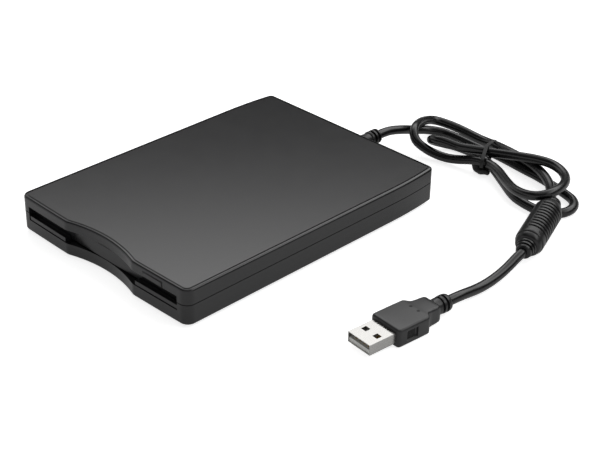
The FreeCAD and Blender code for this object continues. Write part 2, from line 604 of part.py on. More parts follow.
def screw(body, x, y, z, shank, head_up):
    """A pan-head screw with a cross recess: z is where the head meets the shank."""
    if head_up:
        rod(body, "Z", "screw_head_radius", "screw_head_height * 0.6", (x, y, z))
        rod(body, "Z", "screw_radius - 0.1", shank, (x, y, f"{z} - {shank}"))
        top = f"{z} + screw_head_height * 0.6 - 0.4"
    else:
        rod(body, "Z", "screw_head_radius", "screw_head_height", (x, y, f"{z} - screw_head_height"))
        rod(body, "Z", "screw_radius - 0.1", shank, (x, y, z))
        top = f"{z} - screw_head_height"
    for size in (("2.2", "0.5"), ("0.5", "2.2")):
        cut_block(body, (*size, "0.4"), (x, y, top))


def make_case_screws():
    body = new_body("case_screws")
    for x, y in boss_places():
        screw(body, x, y, "(foot_height + screw_sink + screw_head_height)",
              f"({CEILING} - 2 - foot_height - screw_sink - screw_head_height)", False)


# ---------------------------------------------------------------- chassis, carrier, slider

def chassis_screw_places():
    x = f"({CHASSIS_HALF} - 4.9)"
    return [(f"{side} * {x}", y) for side in (-1, 1)
            for y in (f"({BOARD_BACK} + 6)", f"({CHASSIS_BACK} - 7)")]


def make_chassis_frame():
    body = new_body("chassis_frame")
    middle = f"({CHASSIS_FRONT} + {CHASSIS_DEPTH} / 2)"
    block(body, (f"2 * {CHASSIS_HALF}", CHASSIS_DEPTH, "sheet"), ("0", middle, CHASSIS_Z))
    for side in (-1, 1):
        block(body, ("sheet", CHASSIS_DEPTH, f"{SHIELD_Z} - {DECK}"),
              (f"{side} * ({CHASSIS_HALF} - sheet / 2)", middle, DECK))
    slot = "(2 * (pin_radius + pin_gap))"
    for y in PIN_YS:
        cut_block(body, (f"2 * {CHASSIS_HALF} + 2", slot, f"carrier_drop + {slot}"),
                  ("0", y, f"{PIN_Z} - carrier_drop - {slot} / 2"))
    for x, y in chassis_screw_places():
        cut_rod(body, "Z", "screw_radius", "sheet", (x, y, CHASSIS_Z))
    cut_rod(body, "Z", "bearing_radius - 0.8", "sheet", ("0", SPINDLE_Y, CHASSIS_Z))
    # openings that lighten the deck beside the head carriage
    for side in (-1, 1):
        cut_block(body, ("10", "30", "sheet"), (f"{side} * 24", f"{CHASSIS_BACK} - 24", CHASSIS_Z))


def make_shield_plate():
    body = new_body("shield_plate")
    block(body, (f"2 * {CHASSIS_HALF}", CHASSIS_DEPTH, "shield_sheet"),
          ("0", f"{CHASSIS_FRONT} + {CHASSIS_DEPTH} / 2", SHIELD_Z))
    front = f"({HEAD_Y} - shield_reach)"
    back = f"({CHASSIS_BACK} - shield_margin)"
    cut_block(body, ("2 * (notch_half - 6)", f"{back} - {front}", "shield_sheet"),
              ("0", f"({back} + {front}) / 2", SHIELD_Z))
    # hooks for the front ends of the eject springs
    for side in (-1, 1):
        block(body, ("1", "0.8", f"{SHIELD_Z} - {SPRING_Z}"),
              (f"{side} * {SPRING_X}", f"{SPRING_FRONT} - 0.45", SPRING_Z))


SPRING_X = f"({CARRIER_WIDTH} / 2 - 4.9)"
SPRING_Z = f"({SLIDER_Z} + 0.1)"
SPRING_FRONT = f"({CHASSIS_FRONT} + 17)"


def make_disk_carrier():
    """The cradle that takes the disk: a roof, two sides, rails under the disk's edges."""
    body = new_body("disk_carrier")
    depth = f"({DISK_BACK} - {CARRIER_FRONT})"
    middle = f"(({DISK_BACK} + {CARRIER_FRONT}) / 2)"
    half = f"({CARRIER_WIDTH} / 2)"
    block(body, (CARRIER_WIDTH, depth, "carrier_sheet"), ("0", middle, SLOT_HIGH))
    for side in (-1, 1):
        block(body, ("carrier_sheet", depth, "slot_height + carrier_sheet"),
              (f"{side} * ({half} - carrier_sheet / 2)", middle, f"{SLOT_LOW} - carrier_sheet"))
        block(body, ("rail_width", depth, "carrier_sheet"),
              (f"{side} * ({half} - rail_width / 2)", middle, f"{SLOT_LOW} - carrier_sheet"))
        for y in PIN_YS:
            length = "(2 * play + slider_flange + sheet - 0.1)"
            start = half if side > 0 else f"-({half} + {length})"
            rod(body, "X", "pin_radius", length, (start, y, PIN_Z))
    cut_block(body, ("2 * notch_half", "notch_depth", "carrier_sheet"),
              ("0", f"{DISK_BACK} - notch_depth / 2", SLOT_HIGH))
    for side in (-1, 1):
        cut_block(body, ("14", "22", "carrier_sheet"), (f"{side} * 16", f"{SPINDLE_Y} - 10", SLOT_HIGH))
        block(body, ("8", "carrier_sheet", "slot_height"),
              (f"{side} * ({half} - 12)", f"{DISK_BACK} - carrier_sheet / 2", SLOT_LOW))
    rod(body, "Z", "latch_boss", "slider_gap - 0.1", ("latch_pivot_x", LATCH_Y, f"{SLOT_HIGH} + carrier_sheet"))


LATCH_Y = f"({DISK_BACK} - latch_setback)"


def make_latch_lever():
    """The lever that the disk pushes: it lies on the carrier's roof, and its tab reaches down."""
    body = new_body("latch_lever")
    z = f"({SLOT_HIGH} + carrier_sheet + 0.05)"
    rod(body, "Z", "latch_boss + latch_width / 2", "slider_gap - 0.2", ("latch_pivot_x", LATCH_Y, z))
    block(body, ("latch_reach + tab_width / 2", "latch_width", "slider_gap - 0.2"),
          ("latch_pivot_x - (latch_reach + tab_width / 2) / 2", LATCH_Y, z))
    cut_rod(body, "Z", "latch_boss + running_gap", "slider_gap", ("latch_pivot_x", LATCH_Y, z))
    block(body, ("tab_width", "latch_width / 2", "tab_height"),
          ("latch_pivot_x - latch_reach", LATCH_Y, f"{z} - tab_height"))


def slanted_slot(y):
    """The slot in the slider's flange that lifts a carrier pin as the slider moves back."""
    grip = "(pin_radius + pin_gap)"
    lean = "(carrier_drop / eject_travel)"
    reach = f"({grip} * sqrt(1 + {lean}^2))"
    return straight([
        (f"{y} - {grip}", f"{PIN_Z} - {reach} + {grip} * {lean}"),
        (f"{y} + eject_travel + {grip}", f"{PIN_Z} - carrier_drop - {reach} - {grip} * {lean}"),
        (f"{y} + eject_travel + {grip}", f"{PIN_Z} - carrier_drop + {reach} - {grip} * {lean}"),
        (f"{y} - {grip}", f"{PIN_Z} + {reach} + {grip} * {lean}"),
    ])


def make_eject_slider():
    body = new_body("eject_slider")
    half = f"({WALL_INSIDE} - play)"
    front = f"({CHASSIS_FRONT} + eject_travel + 1)"
    depth = f"({DISK_BACK} - 2.4 - {front})"
    middle = f"({front} + {depth} / 2)"
    block(body, (f"2 * {half}", depth, "slider_sheet"), ("0", middle, SLIDER_Z))
    cut_block(body, ("72", depth, "slider_sheet"), ("0", f"{middle} + 8", SLIDER_Z))
    block(body, ("tongue_width", f"{front} - {TONGUE_TIP}", "slider_sheet"),
          ("button_centre", f"({front} + {TONGUE_TIP}) / 2", SLIDER_Z))
    for side in (-1, 1):
        cut_block(body, ("2", "eject_spring_length + 6", "slider_sheet"),
                  (f"{side} * {SPRING_X}",
                   f"{SPRING_FRONT} + (eject_spring_length - 6) / 2", SLIDER_Z))
        block(body, ("slider_flange", depth, "5.2"),
              (f"{side} * ({half} - slider_flange / 2)", middle, f"{SLIDER_Z} - 5.2"))
    for y in PIN_YS:
        for side in (-1, 1):
            start = f"({side} * ({half} - slider_flange / 2) + slider_flange)"
            sketch = new_sketch(body, "X", ("0", "0", start))
            draw_outline(sketch, slanted_slot(y))
            pocket(body, sketch, "2 * slider_flange")


TONGUE_TIP = f"({FRONT} + button_depth - tongue_grip)"


def make_eject_springs():
    """Two tension springs in the slider's windows, at their short length: coils on a core."""
    body = new_body("eject_springs")
    length = "(eject_spring_length - eject_travel - 0.4)"
    for side in (-1, 1):
        x = f"{side} * {SPRING_X}"
        rod(body, "Y", "eject_spring_radius - 0.12", length, (x, SPRING_FRONT, SPRING_Z))
        for coil in range(14):
            rod(body, "Y", "eject_spring_radius", f"{length} / 28",
                (x, f"({SPRING_FRONT} + {length} * ({coil} + 0.25) / 14)", SPRING_Z))


def make_chassis_screws():
    body = new_body("chassis_screws")
    for x, y in chassis_screw_places():
        screw(body, x, y, DECK, "(sheet + standoff + 0.3)", True)


# ---------------------------------------------------------------- spindle motor

def make_drive_board():
    body = new_body("drive_board")
    front = f"({CHASSIS_FRONT} + board_margin)"
    block(body, (f"2 * ({WALL_INSIDE} - board_margin)", f"{BOARD_BACK} - {front}", "board_thickness"),
          ("0", f"({BOARD_BACK} + {front}) / 2", DECK))
    cut_rod(body, "Z", "bearing_radius + 0.1", "board_thickness", ("0", SPINDLE_Y, DECK))


def make_drive_chips():
    body = new_body("drive_chips")
    places = [("-31", "-14", "9", "9"), ("30", "-12", "7", "5"), ("30", "8", "6", "8"), ("-30", "10", "5", "4")]
    for x, y, width, depth in places:
        block(body, (width, depth, "chip_height"), (x, f"{SPINDLE_Y} + {y}", BOARD_TOP))


def make_stator_core():
    """The ring of nine poles under the rotor."""
    body = new_body("stator_core")
    inner = "(stator_bore + 2.5)"
    rod(body, "Z", inner, "stator_height", ("0", SPINDLE_Y, BOARD_TOP))
    for pole in range(9):
        sketch = new_sketch(body, "Z", ("0", SPINDLE_Y, BOARD_TOP))
        bind(sketch, "AttachmentOffset.Rotation.Angle", f"{pole} * 40")
        draw_outline(sketch, straight([("stator_bore + 1", "-1"), ("stator_radius - 1.5", "-1"),
                                       ("stator_radius - 1.5", "-4"), ("stator_radius", "-4"),
                                       ("stator_radius", "4"), ("stator_radius - 1.5", "4"),
                                       ("stator_radius - 1.5", "1"), ("stator_bore + 1", "1")]))
        pad(body, sketch, "stator_height")
    cut_rod(body, "Z", "stator_bore", "stator_height", ("0", SPINDLE_Y, BOARD_TOP))


def make_stator_coils():
    """A winding on each of the nine poles."""
    body = new_body("stator_coils")
    for height, half in (("stator_height + 0.25", "1.7"), ("stator_height", "1")):
        for pole in range(9):
            sketch = new_sketch(body, "Z", ("0", SPINDLE_Y, BOARD_TOP if half == "1.7" else f"{BOARD_TOP} + {height}"))
            bind(sketch, "AttachmentOffset.Rotation.Angle", f"{pole} * 40")
            draw_outline(sketch, straight([("stator_bore + 4", f"-{half}"), ("stator_radius - 2.5", f"-{half}"),
                                           ("stator_radius - 2.5", half), ("stator_bore + 4", half)]))
            if half == "1.7":
                pad(body, sketch, height)
            else:
                pocket(body, sketch, height)


def make_spindle_bearing():
    body = new_body("spindle_bearing")
    height = f"({ROTOR_Z} + rotor_height - rotor_skin - 0.1 - {DECK})"
    rod(body, "Z", "bearing_radius", height, ("0", SPINDLE_Y, DECK))
    cut_rod(body, "Z", "shaft_radius + running_gap", height, ("0", SPINDLE_Y, DECK))


def make_spindle_rotor():
    """A shallow cup with its magnet rim, on a shaft that stands in the bearing."""
    body = new_body("spindle_rotor")
    rod(body, "Z", "rotor_radius", "rotor_height", ("0", SPINDLE_Y, ROTOR_Z))
    cut_rod(body, "Z", "rotor_radius - rotor_rim", "rotor_height - rotor_skin", ("0", SPINDLE_Y, ROTOR_Z))
    rod(body, "Z", "shaft_radius", f"{HUB_Z} - rotor_skin / 2 - {DECK} - 0.1",
        ("0", SPINDLE_Y, f"{DECK} + 0.1"))


def make_spindle_hub():
    """The disk's seat: a low boss with the centring pin and the drive pin."""
    body = new_body("spindle_hub")
    rod(body, "Z", "hub_radius", "hub_height", ("0", SPINDLE_Y, HUB_Z))
    rod(body, "Z", "hub_pin_radius", "hub_pin_height + hub_height", ("0", SPINDLE_Y, HUB_Z))
    rod(body, "Z", "drive_pin_radius", "hub_pin_height + hub_height / 2",
        ("drive_pin_offset", SPINDLE_Y, HUB_Z))


# ---------------------------------------------------------------- head carriage and its drive

def make_head_carriage():
    body = new_body("head_carriage")
    width = "(carriage_left + carriage_right)"
    middle_x = "((carriage_right - carriage_left) / 2)"
    block(body, (width, CARRIAGE_LENGTH, "carriage_height"),
          (middle_x, f"({CARRIAGE_FRONT} + {CARRIAGE_BACK}) / 2", CARRIAGE_Z))
    lower_front = f"({HEAD_Y} - head_length / 2 - 1)"
    block(body, ("2 * lower_arm_half", f"{CARRIAGE_FRONT} + 4 - {lower_front}",
                 "carriage_height - lower_arm_lift - 0.3"),
          ("0", f"({CARRIAGE_FRONT} + 4 + {lower_front}) / 2", f"{CARRIAGE_Z} + lower_arm_lift"))
    top = f"({CARRIAGE_Z} + carriage_height)"
    block(body, ("2 * pillar_half", "pillar_length", f"{ARM_PIVOT_Z} + pillar_cover - {top}"),
          ("0", ARM_PIVOT_Y, top))
    cut_rod(body, "X", "arm_pin_radius + 0.02", "2 * pillar_half + 1",
            ("-(pillar_half + 0.5)", ARM_PIVOT_Y, ARM_PIVOT_Z))
    cut_rod(body, "Y", "rod_radius + running_gap", f"{CARRIAGE_LENGTH} + 1",
            ("-rod_x", f"{CARRIAGE_FRONT} - 0.5", ROD_Z))
    block(body, ("screw_x - carriage_right + 2", "nut_length", f"{SCREW_Z} - screw_crest - 0.2 - {CARRIAGE_Z}"),
          ("(carriage_right - 2 + screw_x) / 2", f"{NUT_FRONT} + nut_length / 2", CARRIAGE_Z))
    rod(body, "Y", "nut_radius", "nut_length", ("screw_x", NUT_FRONT, SCREW_Z))
    cut_rod(body, "Y", "screw_crest + running_gap", "nut_length + 1",
            ("screw_x", f"{NUT_FRONT} - 0.5", SCREW_Z))


def make_lower_head():
    body = new_body("lower_head")
    z = f"({CARRIAGE_Z} + carriage_height - 0.3)"
    block(body, ("head_width", "head_length", "lower_head_height"), ("0", HEAD_Y, z))
    cut_block(body, ("head_width", "0.5", "0.3"), ("0", HEAD_Y, f"{z} + lower_head_height - 0.3"))


def make_arm_pin():
    body = new_body("arm_pin")
    half = "(pillar_half + arm_gap + ear_thickness + 0.3)"
    rod(body, "X", "arm_pin_radius", f"2 * {half}", (f"-{half}", ARM_PIVOT_Y, ARM_PIVOT_Z))


def hang_on_pivot(body):
    """Puts a body drawn about the arm's pivot in its raised place."""
    body.Placement = Placement(Vector(0, 0, 0), Rotation(Vector(1, 0, 0), -1))
    bind(body, "Placement.Base.y", ARM_PIVOT_Y)
    bind(body, "Placement.Base.z", ARM_PIVOT_Z)
    bind(body, "Placement.Rotation.Angle", f"-asin(arm_rise / ({ARM_PIVOT_Y} - {HEAD_Y}))")


def make_upper_head_arm():
    """Drawn level about its pivot, as it lies on a loaded disk, and then raised."""
    body = new_body("upper_head_arm")
    ear_x = "(pillar_half + arm_gap + ear_thickness / 2)"
    tip = f"(-({ARM_PIVOT_Y} - {HEAD_Y} + arm_tip))"
    back = "(-(pillar_length / 2 + 0.5))"
    half_tip = "(head_width / 2 + 1.5)"
    half_back = "(pillar_half + arm_gap + ear_thickness)"
    prism(body, "Z", straight([(f"-{half_tip}", tip), (half_tip, tip), (half_back, back),
                               (f"-{half_back}", back)]),
          "arm_sheet", ("0", "0", "arm_offset"))
    for side in (-1, 1):
        block(body, ("ear_thickness", "pillar_length / 2 + 3", "2.2"),
              (f"{side} * {ear_x}", "-0.5", "-1.5"))
        cut_rod(body, "X", "arm_pin_radius + running_gap", "ear_thickness + 0.4",
                (f"{side} * {ear_x} - ear_thickness / 2 - 0.2", "0", "0"))
    hang_on_pivot(body)


def make_upper_head():
    body = new_body("upper_head")
    block(body, ("head_width", "head_length", "upper_head_drop + arm_offset"),
          ("0", f"-({ARM_PIVOT_Y} - {HEAD_Y})", "-upper_head_drop"))
    hang_on_pivot(body)


def make_guide_rod():
    body = new_body("guide_rod")
    rod(body, "Y", "rod_radius", "rod_length", ("-rod_x", f"{HEAD_Y} - rod_start", ROD_Z))


def make_rod_clips():
    body = new_body("rod_clips")
    for y in (f"({HEAD_Y} - rod_start + clip_length / 2)",
              f"({HEAD_Y} - rod_start + rod_length - clip_length / 2)"):
        block(body, ("4", "clip_length", "rod_rise + rod_radius + 0.6"), ("-rod_x", y, DECK))
        cut_rod(body, "Y", "rod_radius + 0.02", "clip_length + 1",
                ("-rod_x", f"{y} - clip_length / 2 - 0.5", ROD_Z))


def make_lead_screw():
    """The core with its thread drawn as collars."""
    body = new_body("lead_screw")
    length = f"({BRACKET_Y} + bracket_sheet + 2 - {SCREW_FRONT})"
    rod(body, "Y", "screw_core", length, ("screw_x", SCREW_FRONT, SCREW_Z))
    rod(body, "Y", "screw_crest", "bearing_block + 0.3", ("screw_x", SCREW_FRONT, SCREW_Z))
    turns = int(value(f"({BRACKET_Y} - {SCREW_FRONT} - bearing_block - nut_gap) / screw_pitch"))
    for turn in range(turns):
        rod(body, "Y", "screw_crest", "thread_width",
            ("screw_x", f"({SCREW_FRONT} + bearing_block + 1.5 + {turn} * screw_pitch)", SCREW_Z))


def make_screw_bearing():
    body = new_body("screw_bearing")
    block(body, ("2 * bearing_half", "bearing_block", "screw_rise + screw_crest + 0.8"),
          ("screw_x", f"{SCREW_FRONT} + bearing_block / 2", DECK))
    cut_rod(body, "Y", "screw_crest + running_gap", "bearing_block + 1",
            ("screw_x", f"{SCREW_FRONT} - 0.5", SCREW_Z))


def make_stepper_bracket():
    body = new_body("stepper_bracket")
    block(body, ("2 * can_radius + 2", "bracket_sheet", "screw_rise + can_radius"),
          ("screw_x", f"{BRACKET_Y} + bracket_sheet / 2", DECK))
    block(body, ("2 * can_radius + 2", CAN_LENGTH, "screw_rise - can_radius"),
          ("screw_x", f"{BRACKET_Y} + bracket_sheet + {CAN_LENGTH} / 2", DECK))
    cut_rod(body, "Y", "screw_crest + 0.3", "bracket_sheet + 1",
            ("screw_x", f"{BRACKET_Y} - 0.5", SCREW_Z))


def make_stepper_motor():
    body = new_body("stepper_motor")
    front = f"({BRACKET_Y} + bracket_sheet)"
    rod(body, "Y", "can_radius", CAN_LENGTH, ("screw_x", front, SCREW_Z))
    cut_rod(body, "Y", "screw_core + running_gap", "2.5", ("screw_x", f"{front} - 0.2", SCREW_Z))


# ---------------------------------------------------------------- sensors, boards, wiring

SENSOR_Y = f"({CHASSIS_FRONT} + sensor_y)"
SENSORS = {
    "write_protect_plunger": f"-({CARRIER_WIDTH} / 2 - sensor_inset)",
    "density_plunger": f"({CARRIER_WIDTH} / 2 - sensor_inset)",
    "disk_in_plunger": f"({CARRIER_WIDTH} / 2 - disk_sensor_inset)",
}


def make_sensor_switches():
    body = new_body("sensor_switches")
    for x in SENSORS.values():
        block(body, ("switch_size", "switch_size", "switch_height"), (x, SENSOR_Y, BOARD_TOP))
        cut_rod(body, "Z", "plunger_radius + running_gap", "switch_height - 0.05",
                (x, SENSOR_Y, f"{BOARD_TOP} + 0.05"))


def make_plungers():
    for label, x in SENSORS.items():
        body = new_body(label)
        top = f"({BOARD_TOP} + plunger_rise)"
        rod(body, "Z", "plunger_radius", "plunger_length", (x, SENSOR_Y, f"{top} - plunger_length"))
        tip = value(top)
        round_edges(body, "plunger_radius * 0.5",
                    lambda edge, z=tip: all(abs(v.Z - z) < 1e-4 for v in edge.Vertexes))


BRIDGE_Y = f"({INNER_BACK} - relief_flange - bridge_gap + 0.8 - bridge_depth / 2)"
BRIDGE_Z = f"({CASE_FLOOR} + bridge_rise)"
BRIDGE_LEFT = f"(-({HALF_WIDTH} - boss_inset - boss_radius - bridge_margin))"


def bridge_screw_xs():
    return [f"({BRIDGE_LEFT} + 3)", f"({BRIDGE_LEFT} + 36.5)"]


def make_bridge_board():
    body = new_body("bridge_board")
    block(body, ("bridge_width", "bridge_depth", "board_thickness"),
          (f"{BRIDGE_LEFT} + bridge_width / 2", BRIDGE_Y, BRIDGE_Z))
    for x in bridge_screw_xs():
        cut_rod(body, "Z", "screw_radius - 0.3", "board_thickness", (x, BRIDGE_Y, BRIDGE_Z))


BRIDGE_TOP = f"({BRIDGE_Z} + board_thickness)"


def make_bridge_chip():
    body = new_body("bridge_chip")
    block(body, ("7", "7", "chip_height"), (f"{BRIDGE_LEFT} + 28", BRIDGE_Y, BRIDGE_TOP))


def make_crystal_can():
    body = new_body("crystal_can")
    block(body, ("8", "3.5", "2.2"), (f"{BRIDGE_LEFT} + 19", BRIDGE_Y, BRIDGE_TOP))
    round_edges(body, "1.2", lambda edge: abs(edge.BoundBox.ZLength - 2.2) < 1e-3)


def make_cable_header():
    body = new_body("cable_header")
    block(body, ("header_width", "header_depth", "header_height"),
          ("cord_exit_x", f"{BRIDGE_Y} - 1.6", BRIDGE_TOP))


def make_board_screws():
    body = new_body("board_screws")
    for x in bridge_screw_xs():
        rod(body, "Z", "screw_radius + 0.5", "0.8", (x, BRIDGE_Y, BRIDGE_TOP))
        rod(body, "Z", "screw_radius - 0.4", "board_thickness + 1.5", (x, BRIDGE_Y, f"{BRIDGE_TOP} - board_thickness - 1.5"))


def make_ribbon_cable():
    """A flat lead from the drive board's back edge, along the deck, to the bridge board."""
    thick = "ribbon_thickness"
    low = f"({DECK} + 0.05)"
    board = f"({BOARD_TOP} + 0.02)"
    end = f"({BRIDGE_TOP} + 0.02)"
    edge = f"({BRIDGE_Y} - bridge_depth / 2)"
    profile = [
        (f"{BOARD_BACK} - 3", board), (f"{BOARD_BACK} + 0.3", board), (f"{BOARD_BACK} + 1.2", low),
        (f"{CHASSIS_BACK} - 1", low), (f"{edge} - 0.4", end), (f"{edge} + 2.4", end),
    ]
    upper = [(y, f"{z} + {thick}") for y, z in profile]
    body = new_body("ribbon_cable")
    prism(body, "X", straight(profile + upper[::-1]), "ribbon_width",
          (f"({BRIDGE_LEFT} + ribbon_inset)", "0", "0"))


# ---------------------------------------------------------------- tubes along a route

def corner_path(points):
    """Straight runs joined by tangent arcs. Returns the wire, its length and the arcs' radii."""
    places = [Vector(*point) for point in points]
    edges = []
    radii = []
    here = places[0]
    for before, corner, after in zip(places, places[1:], places[2:]):
        into = (corner - before).normalize()
        out = (after - corner).normalize()
        half_turn = into.getAngle(out) / 2
        back = 0.45 * min((corner - before).Length, (after - corner).Length)
        radii.append(back / math.tan(half_turn))
        start = corner - into * back
        end = corner + out * back
        inward = (out - into).normalize()
        centre_gap = radii[-1] / math.cos(half_turn)
        middle = corner + inward * (centre_gap - radii[-1])
        edges.append(Part.LineSegment(here, start).toShape())
        edges.append(Part.Arc(start, middle, end).toShape())
        here = end
    edges.append(Part.LineSegment(here, places[-1]).toShape())
    wire = Part.Wire(edges)
    return wire, wire.Length, radii


def tube(points, radius):
    wire, length, radii = corner_path(points)
    start = Vector(*points[0])
    along = (Vector(*points[1]) - start).normalize()
    section = Part.Wire([Part.Circle(start, along, radius).toShape()])
    solid = wire.makePipeShell([section], True, False)
    expected = math.pi * radius ** 2 * length
    if abs(solid.Volume - expected) > 0.01 * expected:
        raise ValueError(f"tube volume {solid.Volume:.1f} differs from {expected:.1f}")
    return solid, length, radii


def add_shape(label, shape):
    """A sub-part whose shape is worked out here from the sheet's sizes."""
    feature = doc.addObject("Part::Feature", label)
    feature.Label = label
    feature.Shape = shape
    NODES.append(feature)


def cord_move():
    """How far the sleeve's end, and the cord with it, lies from the chosen exit."""
    return Vector(value("cord_exit_x") - CHOSEN_EXIT[0],
                  value(f"{BACK} + relief_length") - CHOSEN_EXIT[1], 0)


def laid_rotation(turn, pitch):
    return Rotation(Vector(0, 0, 1), turn) * Rotation(Vector(1, 0, 0), pitch)


def ferrite_point(along):
    """The point of the ferrite's axis that far from its lower end."""
    axis = laid_rotation(FERRITE_TURN, FERRITE_PITCH).multVec(Vector(0, 1, 0))
    flat = Vector(axis.x, axis.y, 0)
    low = Vector(*FERRITE_END, 0) + cord_move() - flat * (value("ferrite_length") - CHOSEN_FERRITE)
    return Vector(low.x, low.y, value("ferrite_end_height")) + axis * along


def tail_move():
    low = ferrite_point(0)
    return Vector(low.x - FERRITE_END[0], low.y - FERRITE_END[1], 0)


def plug_start():
    """The middle of the grip's front face."""
    length = value("plug_body_length + plug_waist_length + plug_neck_length")
    axis = laid_rotation(PLUG_TURN, 0).multVec(Vector(0, 1, 0))
    face = Vector(*PLUG_FACE, 0) + tail_move() - axis * (length - CHOSEN_PLUG)
    return Vector(face.x, face.y, value(PLUG_Z))


def lead_route():
    move = cord_move()
    heights = [value(SEAM)] * 2 + [z for _, _, z in LEAD_ROUTE[2:]]
    return [(x + move.x, y + move.y, z) for (x, y, _), z in zip(LEAD_ROUTE, heights)]


def link_route():
    """From inside the hank through the ferrite."""
    return [ferrite_point(value("ferrite_length") + 5.1), ferrite_point(0.5)]


def tail_route():
    move = tail_move()
    rise = value(CORD_RADIUS) - 2.1
    heights = [ferrite_point(0.5).z] + [z + rise for _, _, z in TAIL_ROUTE[1:-2]] + [value(PLUG_Z)] * 2
    return [(x + move.x, y + move.y, z) for (x, y, _), z in zip(TAIL_ROUTE, heights)]


def make_cord_tube(label, route):
    solid, length, radii = tube(route, value(CORD_RADIUS))
    print(f"{label}: {length:.1f} mm, radii {', '.join(f'{radius:.0f}' for radius in radii)}")
    add_shape(label, solid)


def make_cable_wires():
    """Four wires from the end of the jacket down to the header, and the jacket's end."""
    stub_end = value(f"{INNER_BACK} - relief_flange - inner_stub")
    exit_x = value("cord_exit_x")
    exit_z = value(SEAM)
    header_top = value(f"{BRIDGE_TOP} + header_height")
    drop_y = stub_end - value("1.6")
    solids = [Part.makeCylinder(value(CORD_RADIUS), value("inner_stub"),
                                Vector(exit_x, stub_end, exit_z), Vector(0, 1, 0))]
    for wire in range(4):
        x = exit_x + (wire - 1.5) * value("wire_pitch")
        route = [(x, stub_end, exit_z), (x, drop_y, exit_z), (x, drop_y, header_top)]
        solids.append(tube(route, value("wire_radius"))[0])
    add_shape("cable_wires", Part.makeCompound(solids))


# ---------------------------------------------------------------- cord, ferrite and plug

def make_strain_relief():
    body = new_body("strain_relief")
    wall_end = BACK
    rod(body, "Y", "relief_flange_radius", "relief_flange", ("cord_exit_x", f"{INNER_BACK} - relief_flange", SEAM))
    rod(body, "Y", "relief_radius", "wall + 5", ("cord_exit_x", INNER_BACK, SEAM))
    rod(body, "Y", "relief_tip_radius", "relief_length - 5", ("cord_exit_x", f"{wall_end} + 5", SEAM))
    for groove in range(2):
        y = f"({wall_end} + relief_length - 2.2 - {groove} * 2.3)"
        for side in (-1, 1):
            cut_block(body, ("2 * relief_tip_radius", "relief_groove_width", "2 * relief_tip_radius"),
                      (f"cord_exit_x + {side} * (2 * relief_tip_radius - relief_groove)", y,
                       f"{SEAM} - relief_tip_radius"))


def hank_places():
    move = cord_move()
    return [(x + move.x, y + move.y, size) for x, y, size in (HANK_LEFT, HANK_RIGHT, HANK_WAIST)]


def make_cord_hank():
    """The hank's outer shape: two round lobes and the tied waist, with room for the tie."""
    body = new_body("cord_hank")
    (left_x, left_y, left_r), (right_x, right_y, right_r), (tie_x, tie_y, waist) = hank_places()
    for x, y, radius in hank_places()[:2]:
        rod(body, "Z", radius, "hank_height", (x, y, "0"))
    flat = "(tie_width / 2 + tie_gap)"
    lower = [(left_x, left_y - left_r + 1), (f"{tie_x} - {flat}", tie_y - waist),
             (f"{tie_x} + {flat}", tie_y - waist), (right_x, right_y - right_r + 1)]
    upper = [(right_x, right_y + right_r - 1), (f"{tie_x} + {flat}", tie_y + waist),
             (f"{tie_x} - {flat}", tie_y + waist), (left_x, left_y + left_r - 1)]
    prism(body, "Z", straight(lower + upper), "hank_height", ("0", "0", "0"))
    cut_block(body, (f"2 * {flat}", 4 * waist, "tie_thickness + tie_gap"), (tie_x, tie_y, "0"))


def make_twist_tie():
    """A strap round the hank's waist, its ends twisted together on top."""
    body = new_body("twist_tie")
    x, y, waist = hank_places()[2]
    inner_w = f"(2 * ({waist} + tie_gap))"
    inner_h = "(hank_height - tie_thickness)"
    block(body, ("tie_width", f"{inner_w} + 2 * tie_thickness", f"{inner_h} + 2 * tie_thickness + tie_gap"),
          (x, y, "0"))
    cut_block(body, ("tie_width + 1", inner_w, f"{inner_h} + tie_gap"), (x, y, "tie_thickness"))
    rod(body, "Y", "tie_thickness * 0.9", "12", (x, y - 6, "hank_height + tie_gap + tie_thickness * 1.6"))


def lay_down(body, turn, place, height, pitch=0):
    """Lays a body drawn along its own +Y on the table, turned about Z and pitched up."""
    body.Placement = Placement(place, laid_rotation(turn, pitch))
    bind(body, "Placement.Base.z", height)


